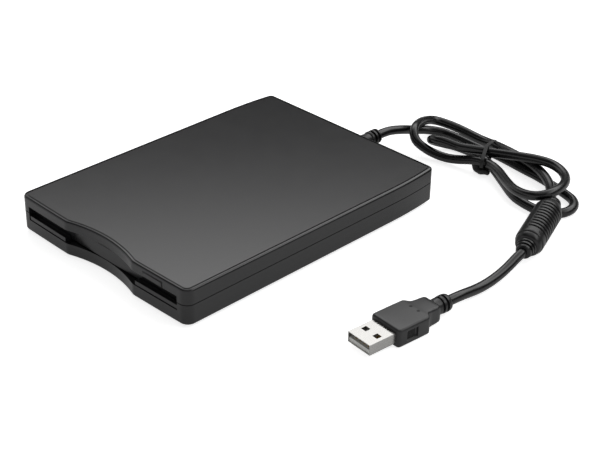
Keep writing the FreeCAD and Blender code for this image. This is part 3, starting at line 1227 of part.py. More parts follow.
def make_ferrite_cover():
    """The moulded sleeve: a domed barrel, ribbed on one side, with ringed collars at its ends."""
    body = new_body("ferrite_cover")
    collar = [
        ("ferrite_collar_radius", "0"), ("ferrite_collar_radius", "1.1"),
        ("ferrite_collar_radius - 0.4", "1.1"), ("ferrite_collar_radius - 0.4", "1.6"),
        ("ferrite_collar_radius + 0.4", "1.6"), ("ferrite_collar_radius + 0.4", "2.7"),
        ("ferrite_collar_radius", "2.7"), ("ferrite_collar_radius", "3.2"),
        ("ferrite_collar_radius + 0.8", "3.2"), ("ferrite_collar_radius + 0.8", "4.2"),
        ("ferrite_collar_radius + 0.4", "4.2"), ("ferrite_collar_radius + 0.4", "ferrite_collar_length"),
    ]
    dome = [
        (f"ferrite_radius - {dip}", f"ferrite_collar_length + {part} * ferrite_shoulder")
        for dip, part in ((1.5, 0), (0.9, 0.08), (0.5, 0.25), (0.15, 0.6), (0, 1))
    ]
    near = collar + dome
    far = [(radius, f"ferrite_length - ({y})") for radius, y in reversed(near)]
    turned(body, near + far)
    for rib in range(7):
        y = f"(ferrite_rib_start + {rib} * ferrite_rib_pitch)"
        ring = "(ferrite_radius - ferrite_rib)"
        sketch = new_sketch(body, "Y", ("0", "0", f"-{y}"))
        draw_outline(sketch, [
            (ring, "0", (ring, True)), ("0", ring, None), ("0", "2 * ferrite_radius", None),
            ("2 * ferrite_radius", "2 * ferrite_radius", None), ("2 * ferrite_radius", "0", None),
        ])
        pocket(body, sketch, "ferrite_rib_width")
    cut_rod(body, "Y", "ferrite_core_radius + 0.05", "ferrite_core_length + 0.1",
            ("0", "(ferrite_length - ferrite_core_length - 0.1) / 2", "0"))
    cut_rod(body, "Y", f"{CORD_RADIUS} + 0.05", "ferrite_length + 1", ("0", "-0.5", "0"))
    lay_down(body, FERRITE_TURN, ferrite_point(0), "ferrite_end_height", FERRITE_PITCH)


def make_ferrite_core():
    body = new_body("ferrite_core")
    start = "((ferrite_length - ferrite_core_length) / 2)"
    rod(body, "Y", "ferrite_core_radius", "ferrite_core_length", ("0", start, "0"))
    cut_rod(body, "Y", f"{CORD_RADIUS} + 0.05", "ferrite_core_length + 1", ("0", f"{start} - 0.5", "0"))
    lay_down(body, FERRITE_TURN, ferrite_point(0), "ferrite_end_height", FERRITE_PITCH)


PLUG_Z = "(plug_body_height / 2)"


def make_plug_overmould():
    """The grip: a thick block, a narrower waist block, and a grooved neck."""
    body = new_body("plug_overmould")
    half = "(plug_body_height / 2)"
    block(body, ("plug_waist_width", "2 * plug_waist_length", "plug_body_height - 0.6"),
          ("0", "plug_body_length", f"-({half} - 0.3)"))
    round_edges(body, "plug_round", lambda edge: True)
    block(body, ("plug_body_width", "plug_body_length", "plug_body_height"),
          ("0", "plug_body_length / 2", f"-{half}"))
    half_width = value("plug_body_width / 2")
    round_edges(body, "plug_round", lambda edge: all(abs(abs(v.X) - half_width) < 1e-3 for v in edge.Vertexes))
    rod(body, "Y", "plug_neck_radius", "plug_neck_length + 2", ("0", "plug_body_length + plug_waist_length - 2", "0"))
    for groove in range(2):
        y = f"(plug_body_length + plug_waist_length + plug_neck_length - 2.4 - {groove} * 2.4)"
        for side in (-1, 1):
            cut_block(body, ("2 * plug_neck_radius", "0.9", "2 * plug_neck_radius"),
                      (f"{side} * (2 * plug_neck_radius - plug_neck_groove)", y, "-plug_neck_radius"))
    for side in (-1, 1):
        cut_block(body, ("2", "4", "plug_body_height - 2"),
                  (f"{side} * (plug_body_width / 2 + 0.5)", "plug_body_length - 5.5", f"-({half} - 1)"))
    cut_block(body, ("shell_width", "shell_grip", "shell_height"), ("0", "shell_grip / 2", "-shell_height / 2"))
    lay_down(body, PLUG_TURN, plug_start(), PLUG_Z)


def make_plug_shell():
    body = new_body("plug_shell")
    length = "(shell_length + shell_grip)"
    block(body, ("shell_width", length, "shell_height"),
          ("0", f"(shell_grip - shell_length) / 2", "-shell_height / 2"))
    cut_block(body, ("shell_width - 2 * shell_wall", length, "shell_height - 2 * shell_wall"),
              ("0", "(shell_grip - shell_length) / 2", "-(shell_height / 2 - shell_wall)"))
    for side in (-1, 1):
        cut_block(body, ("window_width", "window_length", "shell_height + 1"),
                  (f"{side} * window_offset", "-window_setback", "-(shell_height / 2 + 0.5)"))
    lay_down(body, PLUG_TURN, plug_start(), PLUG_Z)


def make_plug_insulator():
    """The tongue along the shell's floor, and the block behind it."""
    body = new_body("plug_insulator")
    inner_w = "(shell_width - 2 * shell_wall)"
    floor = "(-(shell_height / 2 - shell_wall))"
    block(body, (inner_w, "shell_length - 0.4 + shell_grip", "tongue_thickness"),
          ("0", "(shell_grip - shell_length + 0.4) / 2", floor))
    block(body, (inner_w, "shell_grip + 2", "shell_height - 2 * shell_wall"), ("0", "shell_grip / 2 - 1", floor))
    lay_down(body, PLUG_TURN, plug_start(), PLUG_Z)


def make_plug_contacts():
    body = new_body("plug_contacts")
    top = "(-(shell_height / 2 - shell_wall) + tongue_thickness)"
    for contact in range(4):
        x = f"({contact} - 1.5) * contact_pitch"
        block(body, ("contact_width", "shell_length - 3.6", "contact_thickness"),
              (x, "-(2 + (shell_length - 3.6) / 2)", top))
    lay_down(body, PLUG_TURN, plug_start(), PLUG_Z)


# ---------------------------------------------------------------- build, check and write

make_top_cover()
make_bottom_cover()
make_sill_strips()
make_slot_door()
make_door_spring()
make_eject_button()
make_rubber_feet()
make_case_screws()
make_chassis_frame()
make_shield_plate()
make_disk_carrier()
make_latch_lever()
make_eject_slider()
make_eject_springs()
make_chassis_screws()
make_drive_board()
make_drive_chips()
make_stator_core()
make_stator_coils()
make_spindle_bearing()
make_spindle_rotor()
make_spindle_hub()
make_head_carriage()
make_lower_head()
make_arm_pin()
make_upper_head_arm()
make_upper_head()
make_guide_rod()
make_rod_clips()
make_lead_screw()
make_screw_bearing()
make_stepper_bracket()
make_stepper_motor()
make_sensor_switches()
make_plungers()
make_bridge_board()
make_bridge_chip()
make_crystal_can()
make_cable_header()
make_board_screws()
make_ribbon_cable()
make_cable_wires()
make_strain_relief()
make_cord_tube("cord_lead", lead_route())
make_cord_hank()
make_twist_tie()
make_cord_tube("cord_link", link_route())
make_cord_tube("cord_tail", tail_route())
make_ferrite_cover()
make_ferrite_core()
make_plug_overmould()
make_plug_shell()
make_plug_insulator()
make_plug_contacts()
doc.recompute()

for thing in doc.Objects:
    if "Invalid" in thing.State or "Error" in thing.State:
        raise RuntimeError(f"{thing.Name} ({thing.Label}) failed: {thing.State}")
for node in NODES:
    if node.Shape.isNull() or not node.Shape.isValid() or not node.Shape.Solids:
        raise RuntimeError(f"{node.Label} has no valid solid")

os.makedirs("parts", exist_ok=True)
for node in NODES:
    node.Shape.exportStep(f"parts/{node.Label}.step")
print(f"{len(NODES)} sub-parts written")
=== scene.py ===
"""External floppy disk drive with a hanked cord, a ferrite and a plug, on a pale studio floor."""

import math

import bmesh
import bpy
from mathutils import Matrix, Vector, geometry


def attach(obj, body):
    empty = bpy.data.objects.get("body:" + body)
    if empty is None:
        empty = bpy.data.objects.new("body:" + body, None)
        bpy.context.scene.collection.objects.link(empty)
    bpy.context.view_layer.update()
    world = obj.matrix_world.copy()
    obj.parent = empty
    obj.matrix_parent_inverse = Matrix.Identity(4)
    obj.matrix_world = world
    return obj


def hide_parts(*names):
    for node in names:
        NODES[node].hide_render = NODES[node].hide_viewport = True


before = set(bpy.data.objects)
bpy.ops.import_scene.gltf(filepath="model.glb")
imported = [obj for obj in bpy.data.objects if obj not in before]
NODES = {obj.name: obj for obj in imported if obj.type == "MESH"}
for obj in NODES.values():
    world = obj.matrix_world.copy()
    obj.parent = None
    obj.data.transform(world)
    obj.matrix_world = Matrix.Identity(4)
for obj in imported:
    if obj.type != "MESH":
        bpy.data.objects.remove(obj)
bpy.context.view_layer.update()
MM = 0.001
bpy.context.scene.view_settings.view_transform = "Standard"


# ---------------------------------------------------------------- camera

# Where the camera stands in mm, the way it looks, its roll in degrees and its lens in mm.
CAMERA_PLACE = (399.516, -360.596, 309.389)
CAMERA_AIM = (-0.60946, 0.61221, -0.50375)
CAMERA_ROLL = 0.778
CAMERA_LENS = 87.628


def add_camera():
    """Looks down at the drive's front right corner from about 30 degrees up."""
    data = bpy.data.cameras.new("camera")
    data.sensor_width = 36
    data.lens = CAMERA_LENS
    data.clip_start = 0.01
    camera = bpy.data.objects.new("camera", data)
    forward = Vector(CAMERA_AIM).normalized()
    level = forward.cross(Vector((0, 0, 1))).normalized()
    above = level.cross(forward)
    roll = math.radians(CAMERA_ROLL)
    right = level * math.cos(roll) + above * math.sin(roll)
    up = above * math.cos(roll) - level * math.sin(roll)
    turn = Matrix((right, up, -forward)).transposed()
    camera.matrix_world = Matrix.Translation(Vector(CAMERA_PLACE) * MM) @ turn.to_4x4()
    bpy.context.scene.collection.objects.link(camera)
    bpy.context.scene.camera = camera


# ---------------------------------------------------------------- materials

# How much of a surface's mottling comes from its fine grain. The rest is in broad patches.
GRAIN_SHARE = 0.35


def linear(code):
    """The colour of an sRGB hex code such as 1c1c1e."""
    parts = [int(code[i:i + 2], 16) / 255 for i in (0, 2, 4)]
    parts = [c / 12.92 if c <= 0.04045 else ((c + 0.055) / 1.055) ** 2.4 for c in parts]
    return (*parts, 1)


def grey(level):
    """A grey as a linear colour."""
    return (level, level, level, 1)


def add(tree, kind, inputs=None, **settings):
    """A new node. inputs are numbers or colours, or output sockets to link from."""
    node = tree.nodes.new(kind)
    for key, setting in settings.items():
        setattr(node, key, setting)
    for key, given in (inputs or {}).items():
        if isinstance(given, bpy.types.NodeSocket):
            tree.links.new(given, node.inputs[key])
        else:
            node.inputs[key].default_value = given
    return node


def new_material(name):
    """A material with its shader: the material, its tree, the shader and the place in the piece."""
    material = bpy.data.materials.new(name)
    material.use_nodes = True
    tree = material.node_tree
    tree.nodes.clear()
    shader = add(tree, "ShaderNodeBsdfPrincipled")
    add(tree, "ShaderNodeOutputMaterial", {"Surface": shader.outputs[0]})
    place = add(tree, "ShaderNodeTexCoord").outputs["Object"]
    return material, tree, shader, place


def noise(tree, place, size, detail=2, stretch=(1, 1, 1)):
    """Noise whose grains are about size mm across, drawn out along an axis by a stretch under 1."""
    scaled = add(tree, "ShaderNodeMapping", {"Vector": place, "Scale": stretch})
    return add(tree, "ShaderNodeTexNoise", {"Vector": scaled.outputs[0], "Scale": 1000 / size,
                                            "Detail": detail}).outputs[0]


def between(tree, factor, low, high):
    """Spreads noise, which lies mostly between 0.3 and 0.7, over low to high."""
    return add(tree, "ShaderNodeMapRange", {"Value": factor, "From Min": 0.3, "From Max": 0.7,
                                            "To Min": low, "To Max": high}).outputs[0]


def tint(tree, factor, first, second):
    """The first colour where the factor is 0, the second where it is 1."""
    return add(tree, "ShaderNodeMix", {"Factor": factor, "A": first, "B": second},
               data_type="RGBA").outputs["Result"]


def bands(tree, place, pitch, axis):
    """Soft lines a pitch of some mm apart, across an axis. The wave repeats every pi / 10."""
    return add(tree, "ShaderNodeTexWave", {"Vector": place, "Scale": 0.1 * math.pi / (pitch * MM)},
               bands_direction=axis).outputs["Fac"]


def finish(name, dark, light, gloss, grain, depth, metal=0, stretch=(1, 1, 1), patch=9, lines=None):
    """A moulded, cast or rolled surface: two close colours in patches of some mm, a roughness
    between the two numbers of gloss, and a grain of that size and depth in mm. lines are a
    pitch in mm, one or two axes, and their colour: with two axes they turn from patch to patch."""
    material, tree, shader, place = new_material(name)
    fine = noise(tree, place, grain, 3, stretch)
    broad = noise(tree, place, patch, 2, stretch)
    patches = tint(tree, between(tree, broad, 0, 1), linear(dark), linear(light))
    grains = tint(tree, between(tree, fine, 0, 1), linear(dark), linear(light))
    colour = tint(tree, GRAIN_SHARE, patches, grains)
    if lines:
        pitch, axes, line_colour = lines
        across = tint(tree, between(tree, broad, 0, 1), bands(tree, place, pitch, axes[0]),
                      bands(tree, place, pitch, axes[-1]))
        line = add(tree, "ShaderNodeMapRange", {"Value": across, "From Min": 0.6, "From Max": 0.8})
        colour = tint(tree, line.outputs[0], colour, linear(line_colour))
    tree.links.new(colour, shader.inputs["Base Color"])
    both = add(tree, "ShaderNodeMath", {0: fine, 1: broad}, operation="ADD")
    half = add(tree, "ShaderNodeMath", {0: both.outputs[0], 1: 0.5}, operation="MULTIPLY")
    tree.links.new(between(tree, half.outputs[0], *gloss), shader.inputs["Roughness"])
    bump = add(tree, "ShaderNodeBump", {"Height": fine, "Distance": depth * MM, "Strength": 1})
    tree.links.new(bump.outputs[0], shader.inputs["Normal"])
    shader.inputs["Metallic"].default_value = metal
    return material


MATERIALS = {
    # ABS from a finely spark-eroded tool: near black with an even satin sheen
    "casing": finish("abs_satin_black", "1a1a1b", "1c1c1d", (0.15, 0.17), 0.22, 0.0012),
    # ABS from a coarser tool: a duller black
    "flap": finish("abs_flap_black", "161617", "1b1b1c", (0.26, 0.34), 0.3, 0.004),
    "button": finish("abs_button_black", "19191a", "1d1d1e", (0.26, 0.34), 0.25, 0.003),
    # extruded flexible PVC: deep black with a long soft highlight
    "cord_jacket": finish("pvc_jacket", "060607", "0a0a0b", (0.22, 0.3), 0.35, 0.004),
    # flexible PVC moulded over the cord's ends: charcoal and softer
    "cord_moulding": finish("pvc_moulding", "1b1b1c", "212122", (0.3, 0.38), 0.3, 0.006),
    "pvc_sleeve": finish("pvc_sleeve", "070708", "0c0c0d", (0.3, 0.38), 0.3, 0.005),
    # the same from an etched part of the tool: black with hardly a highlight. Its colour, darker than
    # the mouldings it sits on, is painted shade for the grip's side recesses, its dimples and the
    # ferrite's pin mark
    "pvc_painted_shade": finish("pvc_matte_painted_shade", "050505", "080808", (0.6, 0.7), 0.3, 0.01),
    # polyethylene strip over a wire: dull black
    "tie": finish("pe_tie", "040404", "080808", (0.5, 0.6), 0.4, 0.006),
    # sintered ferrite: matt dark grey, a little speckled
    "ferrite": finish("ferrite_ceramic", "2f2f31", "3c3c3f", (0.55, 0.75), 0.15, 0.02),
    # nickel-plated steel, rolled along the plug: pale and softly streaked lengthways
    "plug_steel": finish("nickel_plate", "a9a8a6", "bdbcb9", (0.22, 0.32), 0.12, 0.0015, 1,
                         (1, 0.08, 1), 4),
    # moulded PBT: off-white, neither glossy nor matt
    "plug_liner": finish("pbt_liner", "cfcfcb", "dcdcd8", (0.35, 0.45), 0.2, 0.004),
    # gold flash over nickel: warm and bright, streaked along the contact
    "gold": finish("gold_flash", "d9b15a", "e6c478", (0.2, 0.3), 0.1, 0.001, 1, (1, 0.1, 1), 2),
    # die-cut rubber: matt black with a visible grain
    "feet": finish("rubber_foot", "121212", "1a1a1a", (0.6, 0.8), 0.2, 0.02),
    # black oxide on steel: a dark metal with a dull shine
    "screws": finish("black_oxide_steel", "2b2b2e", "3a3a3d", (0.3, 0.45), 0.08, 0.004, 1),
    # galvanised sheet, rolled along the drive: pale blue-grey with cloudy patches drawn out
    "zinc_sheet": finish("zinc_sheet", "a9adb0", "c3c6c8", (0.28, 0.45), 0.25, 0.003, 1,
                         (1, 0.2, 1), 6),
    # drawn spring steel: bright grey
    "spring_wire": finish("spring_steel", "8d8f93", "aeb0b3", (0.2, 0.35), 0.1, 0.002, 1),
    # moulded acetal: even mid grey, slightly waxy
    "grey_moulding": finish("pom_grey", "4a4c4f", "55575a", (0.38, 0.5), 0.25, 0.006),
    # moulded nylon: milky off-white
    "white_moulding": finish("nylon_white", "d8d6cf", "e4e2db", (0.4, 0.52), 0.2, 0.006),
    # solder resist over copper tracks: glossy green with paler lines. The real tracks are
    # 0.25 mm apart and wouldn't show, so they are drawn at 0.9 mm.
    "circuit_board": finish("board_green", "133c26", "1b5032", (0.25, 0.35), 0.5, 0.01, 0,
                            (1, 1, 1), 5, (0.9, "XY", "2f7a4b")),
    # moulded epoxy: matt charcoal
    "chips": finish("epoxy_black", "1c1c1d", "27272a", (0.5, 0.65), 0.12, 0.012),
    # stamped silicon steel: mid grey metal
    "lamination": finish("silicon_steel", "6e7073", "8a8c8f", (0.35, 0.5), 0.2, 0.004, 1),
    # enamelled copper wire: glossy red-brown, streaked along the turns
    "copper": finish("enamelled_copper", "a2552c", "c06c3a", (0.2, 0.3), 0.15, 0.02, 1, (1, 0.1, 1)),
    # sintered bronze: dull brown-gold
    "bronze": finish("sintered_bronze", "8c6a3c", "a88150", (0.4, 0.55), 0.08, 0.006, 1),
    # turned steel: bright and clean
    "machined_steel": finish("turned_steel", "a5a8ab", "bfc2c4", (0.2, 0.32), 0.12, 0.0015, 1),
    # lapped ceramic: smooth warm grey
    "head_ceramic": finish("head_ceramic", "8f8c84", "a5a29a", (0.15, 0.25), 0.1, 0.002),
    # soft PVC on thin wires: pale grey
    "wire_jacket": finish("pvc_wires", "b9b4aa", "cfcabf", (0.35, 0.45), 0.3, 0.004),
    # laminated polyester film: cream, with a darker line between its 1 mm conductors
    "ribbon": finish("ribbon_film", "c8c4b8", "dad6ca", (0.3, 0.4), 0.3, 0.004, 0, (1, 0.1, 1), 9,
                     (1.0, "X", "a9a496")),
}


# ---------------------------------------------------------------- making pieces

def new_piece(name, data, slot, surface=None):
    """A piece that rides on the casing. surface is its material where that isn't its slot's."""
    piece = bpy.data.objects.new(name, data)
    bpy.context.scene.collection.objects.link(piece)
    piece.data.materials.append(MATERIALS[surface or slot])
    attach(piece, "casing")
    return piece


def soften(piece, width):
    """Rounds a piece's sharp edges by a width in mm."""
    bevel = piece.modifiers.new("rounding", "BEVEL")
    bevel.width = width * MM
    bevel.segments = 2
    bevel.limit_method = "ANGLE"
    bevel.angle_limit = math.radians(40)
    bevel.harden_normals = True


def mesh_piece(name, slot, verts, faces, round_mm=0.0, sharp=35, surface=None):
    """A mesh piece from points in mm in its own frame, smooth but for its sharp edges."""
    mesh = bpy.data.meshes.new(name)
    mesh.from_pydata([Vector(vert) * MM for vert in verts], [], faces)
    mesh.validate()
    tidy = bmesh.new()
    tidy.from_mesh(mesh)
    bmesh.ops.recalc_face_normals(tidy, faces=tidy.faces)
    tidy.to_mesh(mesh)
    tidy.free()
    mesh.shade_smooth()
    mesh.set_sharp_from_angle(angle=math.radians(sharp))
    piece = new_piece(name, mesh, slot, surface)
    if round_mm:
        soften(piece, round_mm)
    return piece


def loft(rings, closed=False):
    """Faces through rings of equally many points; capped at both ends unless closed."""
    count = len(rings[0])
    verts = [point for ring in rings for point in ring]
    faces = []
    for n in range(len(rings) - (0 if closed else 1)):
        near, far = n * count, (n + 1) % len(rings) * count
        for i in range(count):
            j = (i + 1) % count
            faces.append((near + i, near + j, far + j, far + i))
    if not closed:
        faces.append(tuple(range(count)))
        faces.append(tuple(range(len(verts) - count, len(verts))))
    return verts, faces


def joined(parts):
    """The points and faces of several lofts as one."""
    verts, faces = [], []
    for points, panels in parts:
        start = len(verts)
        verts += points
        faces += [tuple(start + i for i in panel) for panel in panels]
    return verts, faces


def circle(count):
    """Angles round a circle."""
    return [math.radians(360 / count * n) for n in range(count)]


def rounded(half_width, half_height, corner, steps=8):
    """Points of a rounded rectangle, anticlockwise from its right side."""
    corner = min(corner, half_width, half_height)
    points = []
    for quarter, (right, top) in enumerate(((1, 1), (-1, 1), (-1, -1), (1, -1))):
        x = right * (half_width - corner)
        z = top * (half_height - corner)
        for step in range(steps + 1):
            turn = math.radians(90 * (quarter + step / steps))
            points.append((x + corner * math.cos(turn), z + corner * math.sin(turn)))
    return points


def turned(stations, count=64):
    """Rings round the y axis from stations of y and radius in mm."""
    turns = [2 * math.pi * n / count for n in range(count)]
    return [[(radius * math.cos(t), y, radius * math.sin(t)) for t in turns] for y, radius in stations]


# ---------------------------------------------------------------- cord

# The cord's route in mm, in its order: sleeve, right lower loop, left inner loop, right upper
# loop, left outer loop, ferrite, plug.
CORD_ROUTE = [
    (4.4, 85.1, 10.3), (4.4, 89.6, 10.3), (4.6, 94.9, 9.7), (5.8, 101.7, 8.2), (5.4, 109.2, 5.3),
    (6.9, 116.8, 3.4), (11.4, 121.9, 2.3), (17.6, 122.9, 2.1), (25.6, 122.7, 2.1), (33.6, 122.1, 2.1),
    (41.9, 121.9, 2.7), (50.2, 121.5, 2.5), (61.9, 120.4, 2.1), (71.4, 119.6, 2.1), (90.8, 114.9, 2.1),
    (95.8, 112, 2.1), (98.4, 107.3, 2.1), (98.3, 101.9, 2.1), (95.5, 97.3, 2.1), (90.1, 94.6, 2.1),
    (78.2, 95.8, 2.1), (72, 98.4, 2.1), (64.7, 103.1, 2.1), (57.4, 107.7, 2.1), (51.1, 111.1, 2.7),
    (43.5, 114.6, 2.7), (34.5, 116.4, 2.1), (26, 115.9, 2.1), (20.8, 112.9, 2.7), (18.9, 107.1, 5.4),
    (21.1, 103.3, 8.2), (25.7, 101.9, 10.2), (29.8, 103, 10.5), (36, 104.7, 9.4), (39.9, 108.4, 8.6),
    (44.8, 111.4, 8.4), (51.4, 113.5, 8.8), (61.8, 116, 10.3), (70, 119.1, 10.7), (76.9, 120.2, 10.7),
    (84.3, 117.7, 10.8), (90.2, 112.3, 10.9), (93.7, 103.8, 11.8), (94.1, 95.8, 12.2),
    (91.4, 90.5, 11.7), (85.5, 89.5, 10.4), (77.7, 91.6, 9.2), (68.8, 97.5, 7.8), (60.7, 103.3, 7),
    (53.9, 106.4, 6.6), (44.2, 106.7, 5.2), (37.3, 104.4, 3.4), (30.9, 103, 2.4), (25, 101.4, 3),
    (19.5, 100.1, 4.7), (15.9, 98.9, 7.1), (12.6, 100.9, 9.4), (9.5, 106, 10.2), (5.6, 115.8, 8),
    (5.1, 124.9, 5.2), (13, 129.3, 3.2), (20.1, 130.2, 2.3), (28.1, 129.6, 2.1), (34.1, 129, 2.5),
    (43.5, 126.1, 4.6), (54.5, 122.4, 6.3), (64.1, 121.2, 6.2), (73.7, 117.4, 6.5), (81.3, 112.3, 6.4),
    (86.2, 107.2, 6.2), (90.6, 101.6, 6.8), (96.5, 94.5, 8.4), (108.95, 58.75, 5.6), (109.2, 54.2, 4.8),
    (109.9, 48.4, 3.6), (110.5, 41.9, 2.7), (110.8, 34.5, 2.2), (110.75, 27.6, 2.4), (110.6, 21.8, 3.2),
    (110.38, 16.23, 3.9), (109.81, 10.26, 3.9),
]
CORD_DIAMETER = 4.2 * MM
# The solids that stay as they are: the ferrite's core and the plug's shell, insulator and contacts.
CORD_NODES = ("ferrite_core", "plug_shell", "plug_insulator", "plug_contacts")


def add_cord(going):
    """The cord from end to end. going, the drawn pieces that lie on the cord, is not used."""
    curve = bpy.data.curves.new("cord", "CURVE")
    curve.dimensions = "3D"
    curve.bevel_depth = CORD_DIAMETER / 2
    curve.bevel_resolution = 5
    curve.resolution_u = 10
    spline = curve.splines.new("NURBS")
    spline.points.add(len(CORD_ROUTE) - 1)
    for point, place in zip(spline.points, CORD_ROUTE):
        point.co = (*(Vector(place) * MM), 1)
    spline.order_u = 3
    spline.use_endpoint_u = True
    cord = new_piece("cord", curve, "cord_jacket")
    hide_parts("cord_lead", "cord_hank", "cord_link", "cord_tail")
    going = going + [NODES[name] for name in CORD_NODES]


# ---------------------------------------------------------------- tie

# The tie's plane: its middle in mm, and the ways across the bundle of strands and along it.
TIE_MIDDLE = Vector((44.4, 116.2, 0))
TIE_ACROSS = Vector((-0.454, 0.891, 0)).normalized()
TIE_ALONG = Vector((0.891, 0.454, 0)).normalized()
# Where the strands cross the plane, in mm across and up.
TIE_STRANDS = [(5.41, 2.6), (-5.28, 2.6), (-5.04, 8.9), (-11.94, 6.5), (13.18, 2.75)]
# How far the strap runs from a strand's middle across and up, and the lowest it gets.
STRAP_ACROSS, STRAP_UP, STRAP_LOW = 2.5, 2.2, 0.45
STRAP_HALF_WIDTH, STRAP_THICKNESS = 0.85, 0.5
FLOOR_CLEARANCE = 0.02
# Where the twisted ends start and stop, how far they turn in degrees, and their sag.
TWIST_START, TWIST_END = Vector((43.6, 106.6, 2.85)), Vector((53.4, 105.6, 2.45))
TWIST_FROM, TWIST_BY, TWIST_SAG = 60, 170, 0.5
TWIST_STEPS = 32


def add_tie():
    """A thin strap drawn tight round the five strands, its ends twisted on the drive's side."""
    ring = []
    for t, z in TIE_STRANDS:
        for turn in circle(24):
            height = max(z + STRAP_UP * math.sin(turn), STRAP_LOW)
            ring.append((t + STRAP_ACROSS * math.cos(turn), height))
    hull = [Vector(ring[i]) for i in geometry.convex_hull_2d(ring)]
    rings = []
    for i, inner in enumerate(hull):
        run = hull[(i + 1) % len(hull)] - hull[i - 1]
        outer = inner + Vector((run.y, -run.x)).normalized() * STRAP_THICKNESS
        corners = [(inner, -STRAP_HALF_WIDTH), (inner, STRAP_HALF_WIDTH),
                   (outer, STRAP_HALF_WIDTH), (outer, -STRAP_HALF_WIDTH)]
        rings.append([TIE_MIDDLE + TIE_ACROSS * flat.x + Vector((0, 0, max(flat.y, FLOOR_CLEARANCE)))
                      + TIE_ALONG * along for flat, along in corners])
    strap = mesh_piece("tie_strap", "tie", *loft(rings, closed=True), round_mm=0.12)
    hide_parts("twist_tie")

    rings = []
    ahead = (TWIST_END - TWIST_START).normalized()
    side = ahead.cross(Vector((0, 0, 1))).normalized()
    up = side.cross(ahead)
    for step in range(TWIST_STEPS + 1):
        part = step / TWIST_STEPS
        size = 1 - 0.5 * abs(2 * part - 1) ** 6
        turn = math.radians(TWIST_FROM + TWIST_BY * part)
        across = side * math.cos(turn) + up * math.sin(turn)
        through = up * math.cos(turn) - side * math.sin(turn)
        middle = TWIST_START.lerp(TWIST_END, part) - up * TWIST_SAG * math.sin(math.pi * part)
        rings.append([middle + (across * x + through * z) * size
                      for x, z in rounded(2.1, 1.35, 0.9, 3)])
    ends = mesh_piece("tie_ends", "tie", *loft(rings), sharp=80)
    return [strap, ends]


# ---------------------------------------------------------------- plug

PLUG_TURN = math.radians(-5.4)
PLUG_PLACE = Vector((106.8, -21.6, 3.9)) * MM


def lay_plug(piece):
    """The plug's pieces are drawn with their mouth towards -y, about the middle of its face."""
    piece.matrix_world = Matrix.Translation(PLUG_PLACE) @ Matrix.Rotation(PLUG_TURN, 4, "Z")


# Stations along the grip from its front face: y, half width, half height, corner radius,
# and how deep the middle of its sides is let in.
GRIP = [
    (0.0, 6.6, 3.2, 0.8, 0), (0.12, 7.0, 3.5, 0.9, 0), (0.4, 7.4, 3.75, 1.0, 0),
    (0.9, 7.7, 3.88, 1.0, 0), (1.6, 7.8, 3.9, 1.0, 0), (4.3, 7.8, 3.9, 1.0, 0),
    (4.45, 7.8, 3.9, 1.0, 0.8), (5.0, 7.8, 3.9, 1.0, 0.95), (9.0, 7.8, 3.9, 1.0, 0.95),
    (9.7, 7.8, 3.9, 1.0, 0.7), (9.9, 7.8, 3.9, 1.0, 0), (14.8, 7.8, 3.9, 1.1, 0),
    (15.6, 7.7, 3.9, 1.1, 0), (16.2, 7.2, 3.9, 1.1, 0), (16.7, 6.4, 3.9, 1.1, 0),
    (17.3, 5.7, 3.9, 1.1, 0), (18.2, 5.2, 3.88, 1.1, 0), (20.0, 5.0, 3.82, 1.1, 0),
    (22.5, 4.9, 3.72, 1.1, 0), (23.7, 4.8, 3.66, 1.2, 0), (24.2, 4.6, 3.55, 1.4, 0),
    (24.4, 4.2, 3.4, 2.0, 0), (24.5, 3.4, 3.3, 3.2, 0), (25.2, 3.3, 3.3, 3.2, 0),
    (27.0, 3.4, 3.4, 3.3, 0), (27.2, 3.42, 3.42, 3.32, 0), (27.25, 2.5, 3.0, 2.5, 0),
    (28.25, 2.5, 3.0, 2.5, 0), (28.3, 3.5, 3.5, 3.4, 0), (29.3, 3.58, 3.58, 3.48, 0),
    (29.35, 2.5, 3.0, 2.5, 0), (30.35, 2.5, 3.0, 2.5, 0), (30.4, 3.6, 3.6, 3.5, 0),
    (31.6, 3.5, 3.5, 3.5, 0), (32.1, 3.3, 3.3, 3.3, 0), (32.4, 2.9, 2.9, 2.9, 0),
    (32.5, 2.3, 2.3, 2.3, 0),
]
# The outline's points from which its left and its right side run, and the points added along
# those sides: how far along, and whether the point is let in.
GRIP_SIDES = (17, 35)
GRIP_RECESS = ((0.12, 0), (0.2, 1), (0.5, 1), (0.8, 1), (0.88, 0))
# A dimple in the grip's top: its places, and stations of radius and height.
DIMPLES_X, DIMPLES_Y = (-2.05, 2.05), 15.0
DIMPLE = ((0.66, 3.895), (0.62, 3.915), (0.54, 3.92), (0.3, 3.905))
# The pad in each side recess: where it starts, the step from ridge to furrow, its half height,
# its back, its two ends and the middle of its ridges, and how much they swell.
PAD_START, PAD_STEP, PAD_STEPS, PAD_HALF_HEIGHT = 5.0, 0.18, 22, 2.3
PAD_BACK, PAD_END, PAD_FACE, PAD_RIDGE = 6.6, 7.0, 7.12, 0.12


